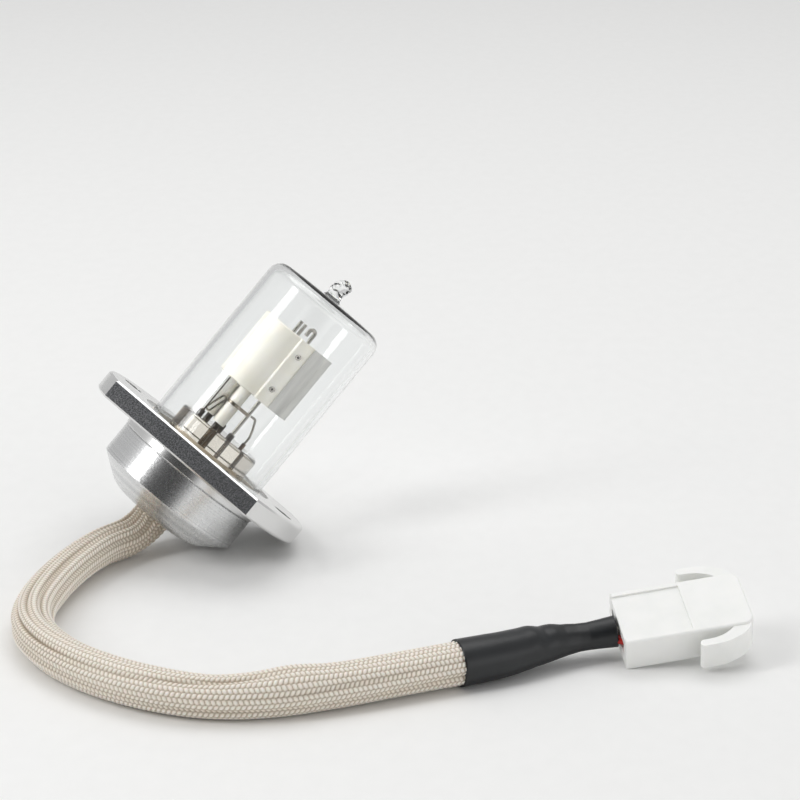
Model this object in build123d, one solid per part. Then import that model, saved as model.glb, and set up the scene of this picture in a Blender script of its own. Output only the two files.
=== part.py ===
from build123d import *
import os
from math import asin, atan2, cos, degrees, pi, radians, sin, tan

# Deuterium lamp with a two-flat fixing flange, a braided lead and a three-way plug.
# Millimetres. The lamp is drawn upright about its own axis, with the flange's seat at
# zero and the bulb above it, and is then laid on the bench as it comes to rest.
# The finished part has +Z up, the bench at zero and its origin under the lamp's middle.

# Glass envelope
BULB_R = 14.0
BULB_WALL = 1.1
BULB_TOP = 40.0
BULB_FOOT = -8.0
BULB_SHOULDER = 3.0
BULB_CROWN = 0.35
NUB_HEIGHT = 5.4
NUB_R = 2.05
NUB_NECK_R = 1.45
NUB_ROOT_R = 2.2
# Shares of the nub's height where its neck starts and ends and where it is widest
NUB_NECK_LOW = 0.2
NUB_NECK_HIGH = 0.34
NUB_WIDEST = 0.55

# Pressed glass stem, a button on a flared skirt
STEM_R = 9.6
STEM_TOP = 4.6
STEM_BUTTON = 4.4
STEM_WALL = 1.4
STEM_RIM = 0.9
STEM_STRAIGHT_LOW = -2.0
STEM_SEAL = 1.2
STEM_CEMENT_LOW = -5.0

# Lead-in pins, by their angle about the axis from the light's direction
PIN_R = 0.45
PIN_PCD_R = 6.3
PIN_LOW = -8.4
ANODE_PIN_TURN = -172
TUBE_PIN_TURN = -118
NEAR_ROD_PIN_TURN = -84
HOOK_PIN_TURN = -48
FAR_ROD_PIN_TURN = 84
BACK_ROD_PIN_TURN = 120
PIN_TURNS = (
    ANODE_PIN_TURN,
    TUBE_PIN_TURN,
    NEAR_ROD_PIN_TURN,
    HOOK_PIN_TURN,
    FAR_ROD_PIN_TURN,
    BACK_ROD_PIN_TURN,
)
COLLAR_R = 0.7
COLLAR_HEIGHT = 1.3

# Electrode assembly, with the light leaving along its own +X
ELECTRODE_TURN = 27.0
BLOCK_LOW = 14.8
BLOCK_HEIGHT = 15.3
BODY_BACK = -8.5
BODY_HALF_WIDTH = 7.4
BODY_BACK_ROUND = 5.6
SPACER_BACK = -1.2
SPACER_FRONT = 2.5
SPACER_HALF_WIDTH = 7.9
SPACER_CORNER = 0.5
BLOCK_EDGE = 0.25
CAVITY_DEPTH = 5.7
CAVITY_HALF_WIDTH = 4.0
CAVITY_HEIGHT = 11.0
CAVITY_CORNER = 1.0
THROAT_WIDTH = 6.4
THROAT_HEIGHT = 9.0
THROAT_CORNER = 1.5
COVER_WALL = 0.3
COVER_HALF_WIDTH = 7.6
COVER_SIDE = 2.8
COVER_SLANT = 2.05
WINDOW_WIDTH = 6.2
WINDOW_HEIGHT = 7.0
WINDOW_CORNER = 1.2
APERTURE_PLATE = 0.5
APERTURE_R = 0.5
APERTURE_DISH_R = 1.6
APERTURE_DISH_DEPTH = 0.3
SHIELD_Y = -3.5
SHIELD_WALL = 0.25
SLIT_WIDTH = 1.4
SLIT_HEIGHT = 6.0
COIL_R = 0.9
COIL_TURNS = 8
COIL_HEIGHT = 6.4
COIL_RIB_DEPTH = 0.21
ANODE_WALL = 0.4
ANODE_HALF_WIDTH = 3.2
ANODE_HEIGHT = 9.0
ANODE_ROD_OVER = 0.8
ANODE_HOLE_OVER = 1.0
LEG_R = 0.3
LEG_REACH = 1.6
LEG_BEND_R = 0.6

# Rods, tube, channel and wires under and over the block
ROD_R = 0.4
HOLE_GAP = 0.1
ROD_TOP_OUT = 2.8
HAIRPIN_R = 0.65
HAIRPIN_DROP = 1.2
TUBE_R = 1.35
STRAP_WALL = 0.25
STRAP_HEIGHT = 0.7
STRAP_MID = 11.0
CHANNEL_WIDTH = 3.1
CHANNEL_DEPTH = 1.7
CHANNEL_WALL = 0.25
CHANNEL_LOW = 6.2
LOOP_LENGTH = 4.5
LOOP_WIDTH = 1.0
LOOP_WIRE_R = 0.2
LOOP_TILT = 18.0
LOOP_MID = 8.7
HOOK_WIRE_R = 0.25
HOOK_TOP = 11.2
HOOK_RISE = 1.6
HOOK_KNEE_BACK = 0.5
HOOK_KNEE_SIDE = 0.3
HOOK_KNEE_DROP = 2.2
HOOK_RUN = 1.2
HOOK_BENDS = (0.8, 0.8, 0.5)
EYELET_R = 0.6
EYELET_BORE_R = 0.25
EYELET_PROUD = 0.12
EYELET_LENGTH = 1.0
EYELET_RISE = 4.2

# Fixing flange, with two flats and two holes
FLANGE_R = 25.75
FLANGE_FLAT = 17.25
FLANGE_T = 4.3
EDGE = 0.4
FIX_PCD = 42.0
FIX_HOLE_R = 2.15
CEMENT_GAP = 0.4
SEAT_RECESS_STEP = 2.2
SEAT_RECESS = 0.5
SHOULDER_STEP = 0.2
SHOULDER_H = 1.75
SPIGOT_WALL = 0.75
SPIGOT_LOW = -10.0

# Base cap, the boss that carries the lead
CAP_LOW = -13.3
CAP_FIT = 0.05
CAP_WALL = 1.15
CAP_EDGE = 0.2
CAP_SLANT_RUN = 3.95
CAP_SLANT_LOW = -16.2
CAP_FACE_R = 6.6
CAP_FACE = -17.5
BUSH_R = 5.0
BUSH_FLANGE_R = 6.2
BUSH_FLANGE = 1.2
LEAD_RISE = 0.9
LEAD_BEND_R = 0.5
LEAD_FOOT = 0.4
LEAD_R = 0.85
LEAD_PITCH_R = 1.7
LEAD_PIN_TURNS = (ANODE_PIN_TURN, NEAR_ROD_PIN_TURN, FAR_ROD_PIN_TURN)
SPLICE_WALL = 0.3
SPLICE_HALF = 1.3

# Where the lamp lies and how it is turned
LAMP_HEADING = 22.9

# Lead
SLEEVE_R = 4.2
SHRINK_WALL = 0.25
SHRINK_LAP = 6.0
# Turns that bring the lead from the cap's direction to the bench, and passes that aim the last one
EXIT_TURNS = 5
AIM_PASSES = 4
# Share of the shorter run that each arc takes up
ARC_SHARE = 0.45
# Route on the bench after the bend at the base: points chosen along the photographed line
ROUTE = (
    (-27.9, -12.8, 4.2),
    (-32.7, -22.6, 4.2),
    (-36.2, -34.3, 4.2),
    (-37.4, -46.3, 4.2),
    (-34.4, -56.3, 4.2),
    (-26.9, -65.8, 4.2),
    (-15.9, -73.8, 4.2),
    (-3.4, -78.8, 4.2),
    (9.6, -78.8, 4.2),
    (23.6, -74.3, 4.25),
    (35.6, -69.3, 4.3),
    (49.8, -63.9, 4.4),
)

# Plug housing
PLUG_LENGTH = 24.7
PLUG_WIDTH = 13.5
PLUG_THICK = 7.0
PLUG_EDGE = 0.5
PLUG_FRONT_CORNER = 2.0
PLUG_ROLL = 19.5
PLUG_TILT = 7.0
PLUG_HEADING = 7.5
PLUG_PLACE = (74.7, -53.6)
RAIL_LENGTH = 13.0
RAIL_WIDTH = 1.1
RAIL_HEIGHT = 0.4
WAY_PITCH = 3.5
WAY_SIZE = 2.7
MOUTH_DEPTH = 11.0
MOUTH_WALL = 1.25
LEVER_ROOT = 2.4
LEVER_LENGTH = 11.2
LEVER_OUT = 3.6
LEVER_WALL = 1.6
LEVER_END_R = 0.75
LEVER_LOW = 0.6
LEVER_TOP_STEP = 0.4
# The lever's curve, as shares of its length back from the mouth and of its stand-out
LEVER_NOSE = (0.16, 0.36)
LEVER_SHOULDER = (0.48, 0.86)
LEVER_HOLLOW = 0.6
LEVER_JOIN = 0.34
LEVER_THICKER = 1.3
TERMINAL_PIN_R = 0.6
TERMINAL_PIN_OUT = 8.0
TERMINAL_BARREL = 2.2
TERMINAL_BARREL_LENGTH = 8.0
TERMINAL_BACK = 2.6
CRIMP_DEPTH = 2.0
LANCE_LENGTH = 2.5
LANCE_WIDTH = 1.2
WIRE_R = 0.85
WIRE_GAP = 0.1
WIRE_SPREAD = 2.1
WIRE_STRAIGHT = 0.5
WIRE_BENDS = (0.3, 0.6)
MOUTH_GAP = 1.1
SHRINK_MOUTH_R = 3.15
# Shares of the way from the braid's end to the plug, each with the shrink's radius there
SHRINK_STEPS = ((0.3, 4.32), (0.55, 3.24), (0.75, 2.7))

# Worked out from the sizes above
SPIGOT_R = BULB_R + CEMENT_GAP + SPIGOT_WALL
CAP_R = SPIGOT_R + CAP_FIT + CAP_WALL
CAP_SLANT_R = CAP_R - EDGE - CAP_SLANT_RUN
SHOULDER_R = CAP_R + SHOULDER_STEP
BLOCK_TOP = BLOCK_LOW + BLOCK_HEIGHT
LIGHT_CENTRE = BLOCK_LOW + BLOCK_HEIGHT / 2
COLLAR_TOP = STEM_TOP + COLLAR_HEIGHT
SHOULDER_LOW = -FLANGE_T - SHOULDER_H
COVER_FRONT = SPACER_FRONT + COVER_SIDE + COVER_SLANT
SHRINK_R = SLEEVE_R + SHRINK_WALL
REST_TILT = degrees(atan2(-CAP_LOW - FLANGE_T, FLANGE_R - CAP_R))
FLAT_CORNER = degrees(asin(FLANGE_FLAT / FLANGE_R))

UPRIGHT = (Align.CENTER, Align.CENTER, Align.MIN)


def post(radius, low, high, at=(0, 0)):
    """A round post along Z between two heights."""
    return Pos(at[0], at[1], low) * Cylinder(radius, high - low, align=UPRIGHT)


def ring(outer, inner, low, high):
    """A plain ring about the axis."""
    return post(outer, low, high) - post(inner, low, high)


def brick(x, y, z):
    """A box given by its two limits along each axis."""
    size = [high - low for low, high in (x, y, z)]
    middle = [(high + low) / 2 for low, high in (x, y, z)]
    return Pos(*middle) * Box(*size)


def turned(*edges):
    """A turned or blown form from a closed half outline, radius across and height up."""
    return revolve(Plane.XZ * make_face(edges), Axis.Z)


def about(angle, radius=PIN_PCD_R):
    """Place on a circle about the axis."""
    return radius * cos(radians(angle)), radius * sin(radians(angle))


def pin_holes(radius, low, high):
    """The posts that cut one hole for each lead-in pin."""
    return [post(radius, low, high, about(angle)) for angle in PIN_TURNS]


def wire(points, radii, wire_r):
    """A round wire along straight runs joined by arcs."""
    path = FilletPolyline(*points, radius=radii)
    return sweep(Plane(path @ 0, z_dir=path % 0) * Circle(wire_r), path)


def group(solids):
    """Separate like solids that share one name."""
    return Compound([solid.solid() for solid in solids])


# Glass

def glass_envelope():
    """Clear tube with a nearly flat closed top and the melted nub where it was sealed off."""
    inside = BULB_R - BULB_WALL
    flat_r = BULB_R - BULB_SHOULDER
    ceiling = BULB_TOP - BULB_WALL
    spring = BULB_TOP - BULB_SHOULDER
    tip = BULB_TOP + NUB_HEIGHT
    collar = BULB_TOP + BULB_CROWN
    neck_low = BULB_TOP + NUB_HEIGHT * NUB_NECK_LOW
    neck_high = BULB_TOP + NUB_HEIGHT * NUB_NECK_HIGH
    widest = BULB_TOP + NUB_HEIGHT * NUB_WIDEST
    return turned(
        Line((inside, BULB_FOOT), (BULB_R, BULB_FOOT)),
        Line((BULB_R, BULB_FOOT), (BULB_R, spring)),
        TangentArc((BULB_R, spring), (flat_r, BULB_TOP), tangent=(0, 1)),
        Line((flat_r, BULB_TOP), (NUB_ROOT_R, collar)),
        Line((NUB_ROOT_R, collar), (NUB_NECK_R, neck_low)),
        Line((NUB_NECK_R, neck_low), (NUB_NECK_R, neck_high)),
        Line((NUB_NECK_R, neck_high), (NUB_R, widest)),
        TangentArc((0, tip), (NUB_R, widest), tangent=(1, 0)),
        Line((0, tip), (0, ceiling + BULB_CROWN)),
        Line((0, ceiling + BULB_CROWN), (flat_r, ceiling)),
        TangentArc((inside, spring), (flat_r, ceiling), tangent=(0, 1)),
        Line((inside, spring), (inside, BULB_FOOT)),
    )


def glass_stem():
    """Pressed button that carries the pins, with a skirt that flares out to the envelope's foot."""
    hollow = STEM_R - STEM_WALL
    under = STEM_TOP - STEM_BUTTON
    seal_r = BULB_R - BULB_WALL
    seal_top = BULB_FOOT + STEM_SEAL
    button = turned(
        Line((0, STEM_TOP), (STEM_R - STEM_RIM, STEM_TOP)),
        TangentArc((STEM_R - STEM_RIM, STEM_TOP), (STEM_R, STEM_TOP - STEM_RIM), tangent=(1, 0)),
        Line((STEM_R, STEM_TOP - STEM_RIM), (STEM_R, STEM_STRAIGHT_LOW)),
        TangentArc((STEM_R, STEM_STRAIGHT_LOW), (seal_r, seal_top), tangent=(0, -1)),
        Line((seal_r, seal_top), (seal_r, BULB_FOOT)),
        TangentArc((hollow, STEM_STRAIGHT_LOW), (seal_r, BULB_FOOT), tangent=(0, -1)),
        Line((hollow, STEM_STRAIGHT_LOW), (hollow, under)),
        Line((hollow, under), (0, under)),
        Line((0, under), (0, STEM_TOP)),
    )
    return button - pin_holes(PIN_R, under, STEM_TOP)


def stem_cement():
    """Cream cement run into the hollow of the stem round the pins."""
    hollow = STEM_R - STEM_WALL
    top = STEM_TOP - STEM_BUTTON
    flare = stem_flare_r(STEM_CEMENT_LOW)
    plug = turned(
        Line((0, top), (hollow, top)),
        Line((hollow, top), (hollow, STEM_STRAIGHT_LOW)),
        TangentArc((hollow, STEM_STRAIGHT_LOW), (flare, STEM_CEMENT_LOW), tangent=(0, -1)),
        Line((flare, STEM_CEMENT_LOW), (0, STEM_CEMENT_LOW)),
        Line((0, STEM_CEMENT_LOW), (0, top)),
    )
    return plug - pin_holes(PIN_R, STEM_CEMENT_LOW, top)


def stem_flare_r(height):
    """Inside radius of the skirt's flare at a height below its straight part."""
    hollow = STEM_R - STEM_WALL
    across = BULB_R - BULB_WALL - hollow
    down = STEM_STRAIGHT_LOW - BULB_FOOT
    arc_r = (across ** 2 + down ** 2) / (2 * across)
    drop = STEM_STRAIGHT_LOW - height
    return hollow + arc_r - (arc_r ** 2 - drop ** 2) ** 0.5


def lead_in_pins():
    """The pins through the stem; the hook wire's own pin has no collar and ends at the glass."""
    return group(pin_holes(PIN_R, PIN_LOW, COLLAR_TOP))


def pin_collars():
    """Dark beads over the welds where pins and rods join."""
    return group([
        post(COLLAR_R, STEM_TOP, COLLAR_TOP, about(angle)) - post(PIN_R, STEM_TOP, COLLAR_TOP, about(angle))
        for angle in PIN_TURNS if angle != HOOK_PIN_TURN
    ])


# Electrode assembly

def throat():
    """The opening through the spacer that the discharge passes."""
    mouth = RectangleRounded(THROAT_WIDTH, THROAT_HEIGHT, THROAT_CORNER)
    depth = SPACER_FRONT - SPACER_BACK
    return extrude(Plane((SPACER_BACK, 0, LIGHT_CENTRE), x_dir=(0, 1, 0), z_dir=(1, 0, 0)) * mouth, depth)


def ceramic_body():
    """Ivory block with a rounded back and the anode's hollow in its front."""
    outline = Pos((BODY_BACK + SPACER_BACK) / 2, 0) * Rectangle(SPACER_BACK - BODY_BACK, 2 * BODY_HALF_WIDTH)
    outline = fillet(outline.vertices().group_by(Axis.X)[0], BODY_BACK_ROUND)
    block = extrude(Pos(0, 0, BLOCK_LOW) * outline, BLOCK_HEIGHT)
    rims = block.faces().sort_by(Axis.Z)
    block = chamfer(rims[0].edges() + rims[-1].edges(), BLOCK_EDGE)
    mouth = RectangleRounded(2 * CAVITY_HALF_WIDTH, CAVITY_HEIGHT, CAVITY_CORNER)
    front = Plane((SPACER_BACK, 0, LIGHT_CENTRE), x_dir=(0, 1, 0), z_dir=(-1, 0, 0))
    block -= extrude(front * mouth, CAVITY_DEPTH)
    cavity_top = LIGHT_CENTRE + CAVITY_HEIGHT / 2
    block -= post(ROD_R + HOLE_GAP, BLOCK_LOW, cavity_top + ANODE_HOLE_OVER, about(ANODE_PIN_TURN))
    block -= post(ROD_R + HOLE_GAP, BLOCK_LOW, BLOCK_TOP, about(TUBE_PIN_TURN))
    block -= post(ROD_R + HOLE_GAP, BLOCK_LOW, BLOCK_TOP, about(BACK_ROD_PIN_TURN))
    return block


def eyelet_places():
    """Middles of the four eyelets on the spacer's two sides."""
    x = (SPACER_BACK + SPACER_FRONT) / 2
    return [(x, side, LIGHT_CENTRE + rise) for side in (-1, 1) for rise in (-EYELET_RISE, EYELET_RISE)]


def eyelet(x, side, z, proud, bore):
    """One eyelet's barrel, let into the side of the spacer."""
    face = Plane((x, side * (SPACER_HALF_WIDTH + proud), z), z_dir=(0, -side, 0))
    barrel = extrude(face * Circle(EYELET_R), EYELET_LENGTH + proud)
    if not bore:
        return barrel
    return barrel - extrude(face * Circle(EYELET_BORE_R), EYELET_LENGTH + proud)


def body_eyelets():
    """Small metal eyelets that pin the stack together."""
    return group([eyelet(x, side, z, EYELET_PROUD, True) for x, side, z in eyelet_places()])


def ceramic_spacer():
    """Flat ceramic plate between the body and the metal front, a little wider than the body."""
    outline = Pos((SPACER_BACK + SPACER_FRONT) / 2, 0) * RectangleRounded(
        SPACER_FRONT - SPACER_BACK, 2 * SPACER_HALF_WIDTH, SPACER_CORNER)
    plate = extrude(Pos(0, 0, BLOCK_LOW) * outline, BLOCK_HEIGHT)
    plate -= throat()
    for angle in (NEAR_ROD_PIN_TURN, FAR_ROD_PIN_TURN):
        plate -= post(ROD_R + HOLE_GAP, BLOCK_LOW, BLOCK_TOP, about(angle))
    for x, side, z in eyelet_places():
        plate -= eyelet(x, side, z, 0, False)
    for points in cathode_leg_runs():
        start = points[0]
        slot = LEG_R + HOLE_GAP
        plate -= brick(
            (start[0], SPACER_FRONT),
            (start[1] - slot, start[1] + slot),
            (start[2] - slot, start[2] + slot))
    return plate


def front_outline(inset=0.0):
    """Outline of the metal front seen along the lamp's axis, drawn in by the sheet's thickness."""
    half = COVER_HALF_WIDTH - inset
    corner = inset * tan(radians(22.5))
    side = SPACER_FRONT + COVER_SIDE - corner
    front = COVER_FRONT - inset
    nose = COVER_HALF_WIDTH - COVER_SLANT - corner
    return Polygon(
        (SPACER_FRONT, -half), (side, -half), (front, -nose),
        (front, nose), (side, half), (SPACER_FRONT, half),
        align=None)


def front_cover():
    """Folded nickel box with slanted sides and the light window in its face."""
    box = extrude(Pos(0, 0, BLOCK_LOW) * front_outline(), BLOCK_HEIGHT)
    hollow = Pos(0, 0, BLOCK_LOW + COVER_WALL) * front_outline(COVER_WALL)
    box -= extrude(hollow, BLOCK_HEIGHT - 2 * COVER_WALL)
    face = Plane((COVER_FRONT, 0, LIGHT_CENTRE), x_dir=(0, 1, 0), z_dir=(-1, 0, 0))
    return box - extrude(face * RectangleRounded(WINDOW_WIDTH, WINDOW_HEIGHT, WINDOW_CORNER), COVER_WALL)


def aperture_plate():
    """Molybdenum plate whose small dished hole narrows the discharge."""
    margin = COVER_WALL
    plate = brick(
        (SPACER_FRONT, SPACER_FRONT + APERTURE_PLATE),
        (-COVER_HALF_WIDTH + margin, COVER_HALF_WIDTH - margin),
        (BLOCK_LOW + margin, BLOCK_TOP - margin))
    along = Plane((SPACER_FRONT, 0, LIGHT_CENTRE), z_dir=(1, 0, 0))
    plate -= extrude(along * Circle(APERTURE_R), APERTURE_PLATE)
    dish = Plane((SPACER_FRONT + APERTURE_PLATE, 0, LIGHT_CENTRE), z_dir=(-1, 0, 0))
    narrow = dish.offset(APERTURE_DISH_DEPTH)
    plate -= loft([dish * Circle(APERTURE_DISH_R), narrow * Circle(APERTURE_R)])
    for points in cathode_leg_runs():
        y, z = points[0][1:]
        hole = Plane((SPACER_FRONT, y, z), z_dir=(1, 0, 0))
        plate -= extrude(hole * Circle(LEG_R + HOLE_GAP), APERTURE_PLATE)
    return plate


def cathode_shield():
    """Partition with a slit that hides the cathode from the window."""
    back = SPACER_FRONT + APERTURE_PLATE
    wall = brick(
        (back, COVER_FRONT - COVER_WALL),
        (SHIELD_Y, SHIELD_Y + SHIELD_WALL),
        (BLOCK_LOW + COVER_WALL, LIGHT_CENTRE + COIL_HEIGHT / 2 + LEG_REACH - LEG_R - HOLE_GAP))
    middle = (back + COVER_FRONT - COVER_WALL) / 2
    slit = brick(
        (middle - SLIT_WIDTH / 2, middle + SLIT_WIDTH / 2),
        (SHIELD_Y, SHIELD_Y + SHIELD_WALL),
        (LIGHT_CENTRE - SLIT_HEIGHT / 2, LIGHT_CENTRE + SLIT_HEIGHT / 2))
    return wall - slit


def coil_place():
    """Middle of the cathode coil, seen along the lamp's axis."""
    return about(HOOK_PIN_TURN)


def cathode_coil():
    """Oxide-coated coil standing upright; the coating fills its turns to ribs."""
    low = LIGHT_CENTRE - COIL_HEIGHT / 2
    pitch = COIL_HEIGHT / COIL_TURNS
    root = COIL_R - COIL_RIB_DEPTH
    edges = [Line((0, low), (root, low))]
    for turn in range(COIL_TURNS):
        start = low + turn * pitch
        edges.append(ThreePointArc((root, start), (COIL_R, start + pitch / 2), (root, start + pitch)))
    edges.append(Line((root, low + COIL_HEIGHT), (0, low + COIL_HEIGHT)))
    edges.append(Line((0, low + COIL_HEIGHT), (0, low)))
    return Pos(*coil_place()) * turned(*edges)


def cathode_leg_runs():
    """Routes of the two legs that join the coil's ends to the spacer's rods."""
    x, y = coil_place()
    low = LIGHT_CENTRE - COIL_HEIGHT / 2
    high = LIGHT_CENTRE + COIL_HEIGHT / 2
    near = about(NEAR_ROD_PIN_TURN)
    far = about(FAR_ROD_PIN_TURN)
    low_run = low - LEG_REACH
    high_run = high + LEG_REACH
    return (
        ((near[0] + ROD_R, near[1], low_run), (x, near[1], low_run), (x, y, low_run), (x, y, low)),
        ((far[0] + ROD_R, far[1], high_run), (x, far[1], high_run), (x, y, high_run), (x, y, high)),
    )


def cathode_legs():
    """Stiff wires from the rods to the coil's two ends."""
    return group([wire(points, LEG_BEND_R, LEG_R) for points in cathode_leg_runs()])


def anode_plate():
    """Small metal plate in the ceramic's hollow, welded to the front of its rod."""
    back = about(ANODE_PIN_TURN)[0] + ROD_R
    return brick(
        (back, back + ANODE_WALL),
        (-ANODE_HALF_WIDTH, ANODE_HALF_WIDTH),
        (LIGHT_CENTRE - ANODE_HEIGHT / 2, LIGHT_CENTRE + ANODE_HEIGHT / 2))


def anode_rod():
    """Rod from the anode's pin up behind the anode plate."""
    top = LIGHT_CENTRE + CAVITY_HEIGHT / 2 + ANODE_ROD_OVER
    return post(ROD_R, COLLAR_TOP, top, about(ANODE_PIN_TURN))


def support_rods():
    """Rods through the ceramic; the near one is bent over at its top."""
    x, y = about(NEAR_ROD_PIN_TURN)
    bend = BLOCK_TOP + ROD_TOP_OUT - HAIRPIN_R
    stem = Line((x, y, COLLAR_TOP), (x, y, bend))
    over = ThreePointArc(
        (x, y, bend), (x - HAIRPIN_R, y, bend + HAIRPIN_R), (x - 2 * HAIRPIN_R, y, bend))
    back = Line((x - 2 * HAIRPIN_R, y, bend), (x - 2 * HAIRPIN_R, y, bend - HAIRPIN_DROP))
    path = Wire([stem, over, back])
    hairpin = sweep(Plane((x, y, COLLAR_TOP)) * Circle(ROD_R), path)
    top = BLOCK_TOP + ROD_TOP_OUT
    return group([
        hairpin,
        post(ROD_R, COLLAR_TOP, top, about(TUBE_PIN_TURN)),
        post(ROD_R, COLLAR_TOP, top, about(FAR_ROD_PIN_TURN)),
        post(ROD_R, COLLAR_TOP, BLOCK_TOP, about(BACK_ROD_PIN_TURN)),
    ])


def insulator_tube():
    """Ivory ceramic tube on the rod below the body."""
    place = about(TUBE_PIN_TURN)
    return post(TUBE_R, COLLAR_TOP, BLOCK_LOW, place) - post(ROD_R, COLLAR_TOP, BLOCK_LOW, place)


def tube_strap():
    """Dark strap round the tube, welded to the near rod."""
    x, y = about(TUBE_PIN_TURN)
    rod = about(NEAR_ROD_PIN_TURN)
    low = STRAP_MID - STRAP_HEIGHT / 2
    high = STRAP_MID + STRAP_HEIGHT / 2
    band = post(TUBE_R + STRAP_WALL, low, high, (x, y))
    arm_y = rod[1] - ROD_R
    band += brick((x, rod[0]), (arm_y - STRAP_WALL, arm_y), (low, high))
    return band - post(TUBE_R, low, high, (x, y))


def channel_box():
    """Limits of the nickel channel seen along the axis: back face, left and right."""
    rod = about(ANODE_PIN_TURN)
    back = rod[1] - ROD_R
    left = rod[0] - ROD_R
    return left, left + CHANNEL_WIDTH, back


def lead_channel():
    """Folded nickel channel that screens the anode's rod."""
    left, right, back = channel_box()
    front = back - CHANNEL_DEPTH
    solid = brick((left, right), (front, back), (CHANNEL_LOW, BLOCK_LOW))
    return solid - brick(
        (left + CHANNEL_WALL, right - CHANNEL_WALL), (front, back - CHANNEL_WALL), (CHANNEL_LOW, BLOCK_LOW))


def channel_loop():
    """Closed loop of wire lying in the channel."""
    left, right, back = channel_box()
    y = back - CHANNEL_WALL - LOOP_WIRE_R
    place = Plane(((left + right) / 2, y, LOOP_MID), x_dir=(0, 0, 1), z_dir=(0, -1, 0))
    place = place.location * Rot(0, 0, -LOOP_TILT)
    straight = LOOP_LENGTH - LOOP_WIDTH
    half = LOOP_WIDTH / 2
    path = Wire([
        Line((-straight / 2, -half), (straight / 2, -half)),
        ThreePointArc((straight / 2, -half), (straight / 2 + half, 0), (straight / 2, half)),
        Line((straight / 2, half), (-straight / 2, half)),
        ThreePointArc((-straight / 2, half), (-straight / 2 - half, 0), (-straight / 2, -half)),
    ])
    section = Plane((-straight / 2, -half, 0), z_dir=(1, 0, 0)) * Circle(LOOP_WIRE_R)
    return place * sweep(section, path)


def hook_wire():
    """Thin wire from the end pin, hooked over to the near rod."""
    x, y = about(HOOK_PIN_TURN)
    rod = about(NEAR_ROD_PIN_TURN)
    end = (rod[0] + ROD_R + HOOK_WIRE_R, rod[1], HOOK_TOP)
    points = (
        (x, y, COLLAR_TOP),
        (x, y, COLLAR_TOP + HOOK_RISE),
        (x - HOOK_KNEE_BACK, y - HOOK_KNEE_SIDE, HOOK_TOP - HOOK_KNEE_DROP),
        (end[0] + HOOK_RUN, end[1] + HOOK_KNEE_SIDE, HOOK_TOP),
        end,
    )
    return wire(points, HOOK_BENDS, HOOK_WIRE_R)


# Base

def flange():
    """Turned aluminium flange with two flats, a shoulder and a spigot for the cap."""
    bore = BULB_R + CEMENT_GAP
    disc = post(FLANGE_R, -FLANGE_T, 0)
    disc &= brick((-FLANGE_R, FLANGE_R), (-FLANGE_FLAT, FLANGE_FLAT), (-FLANGE_T, 0))
    faces = disc.faces().sort_by(Axis.Z)
    disc = chamfer(faces[0].edges() + faces[-1].edges(), EDGE)
    disc -= post(BULB_R + SEAT_RECESS_STEP, -SEAT_RECESS, 0)
    disc -= [post(FIX_HOLE_R, -FLANGE_T, 0, (side * FIX_PCD / 2, 0)) for side in (-1, 1)]
    neck = turned(
        Line((0, -FLANGE_T), (SHOULDER_R, -FLANGE_T)),
        Line((SHOULDER_R, -FLANGE_T), (SHOULDER_R, SHOULDER_LOW + CAP_EDGE)),
        Line((SHOULDER_R, SHOULDER_LOW + CAP_EDGE), (SHOULDER_R - CAP_EDGE, SHOULDER_LOW)),
        Line((SHOULDER_R - CAP_EDGE, SHOULDER_LOW), (SPIGOT_R, SHOULDER_LOW)),
        Line((SPIGOT_R, SHOULDER_LOW), (SPIGOT_R, SPIGOT_LOW)),
        Line((SPIGOT_R, SPIGOT_LOW), (0, SPIGOT_LOW)),
        Line((0, SPIGOT_LOW), (0, -FLANGE_T)),
    )
    return disc + neck - post(bore, SPIGOT_LOW, 0)


def bulb_cement():
    """Thin ring of cement that holds the envelope in the flange."""
    return ring(BULB_R + CEMENT_GAP, BULB_R, BULB_FOOT, -SEAT_RECESS)


def cap_slope(wall):
    """Height gained inside the slanted wall for a wall thickness."""
    return wall / cos(atan2(CAP_LOW - CAP_SLANT_LOW, CAP_R - EDGE - CAP_SLANT_R))


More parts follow.
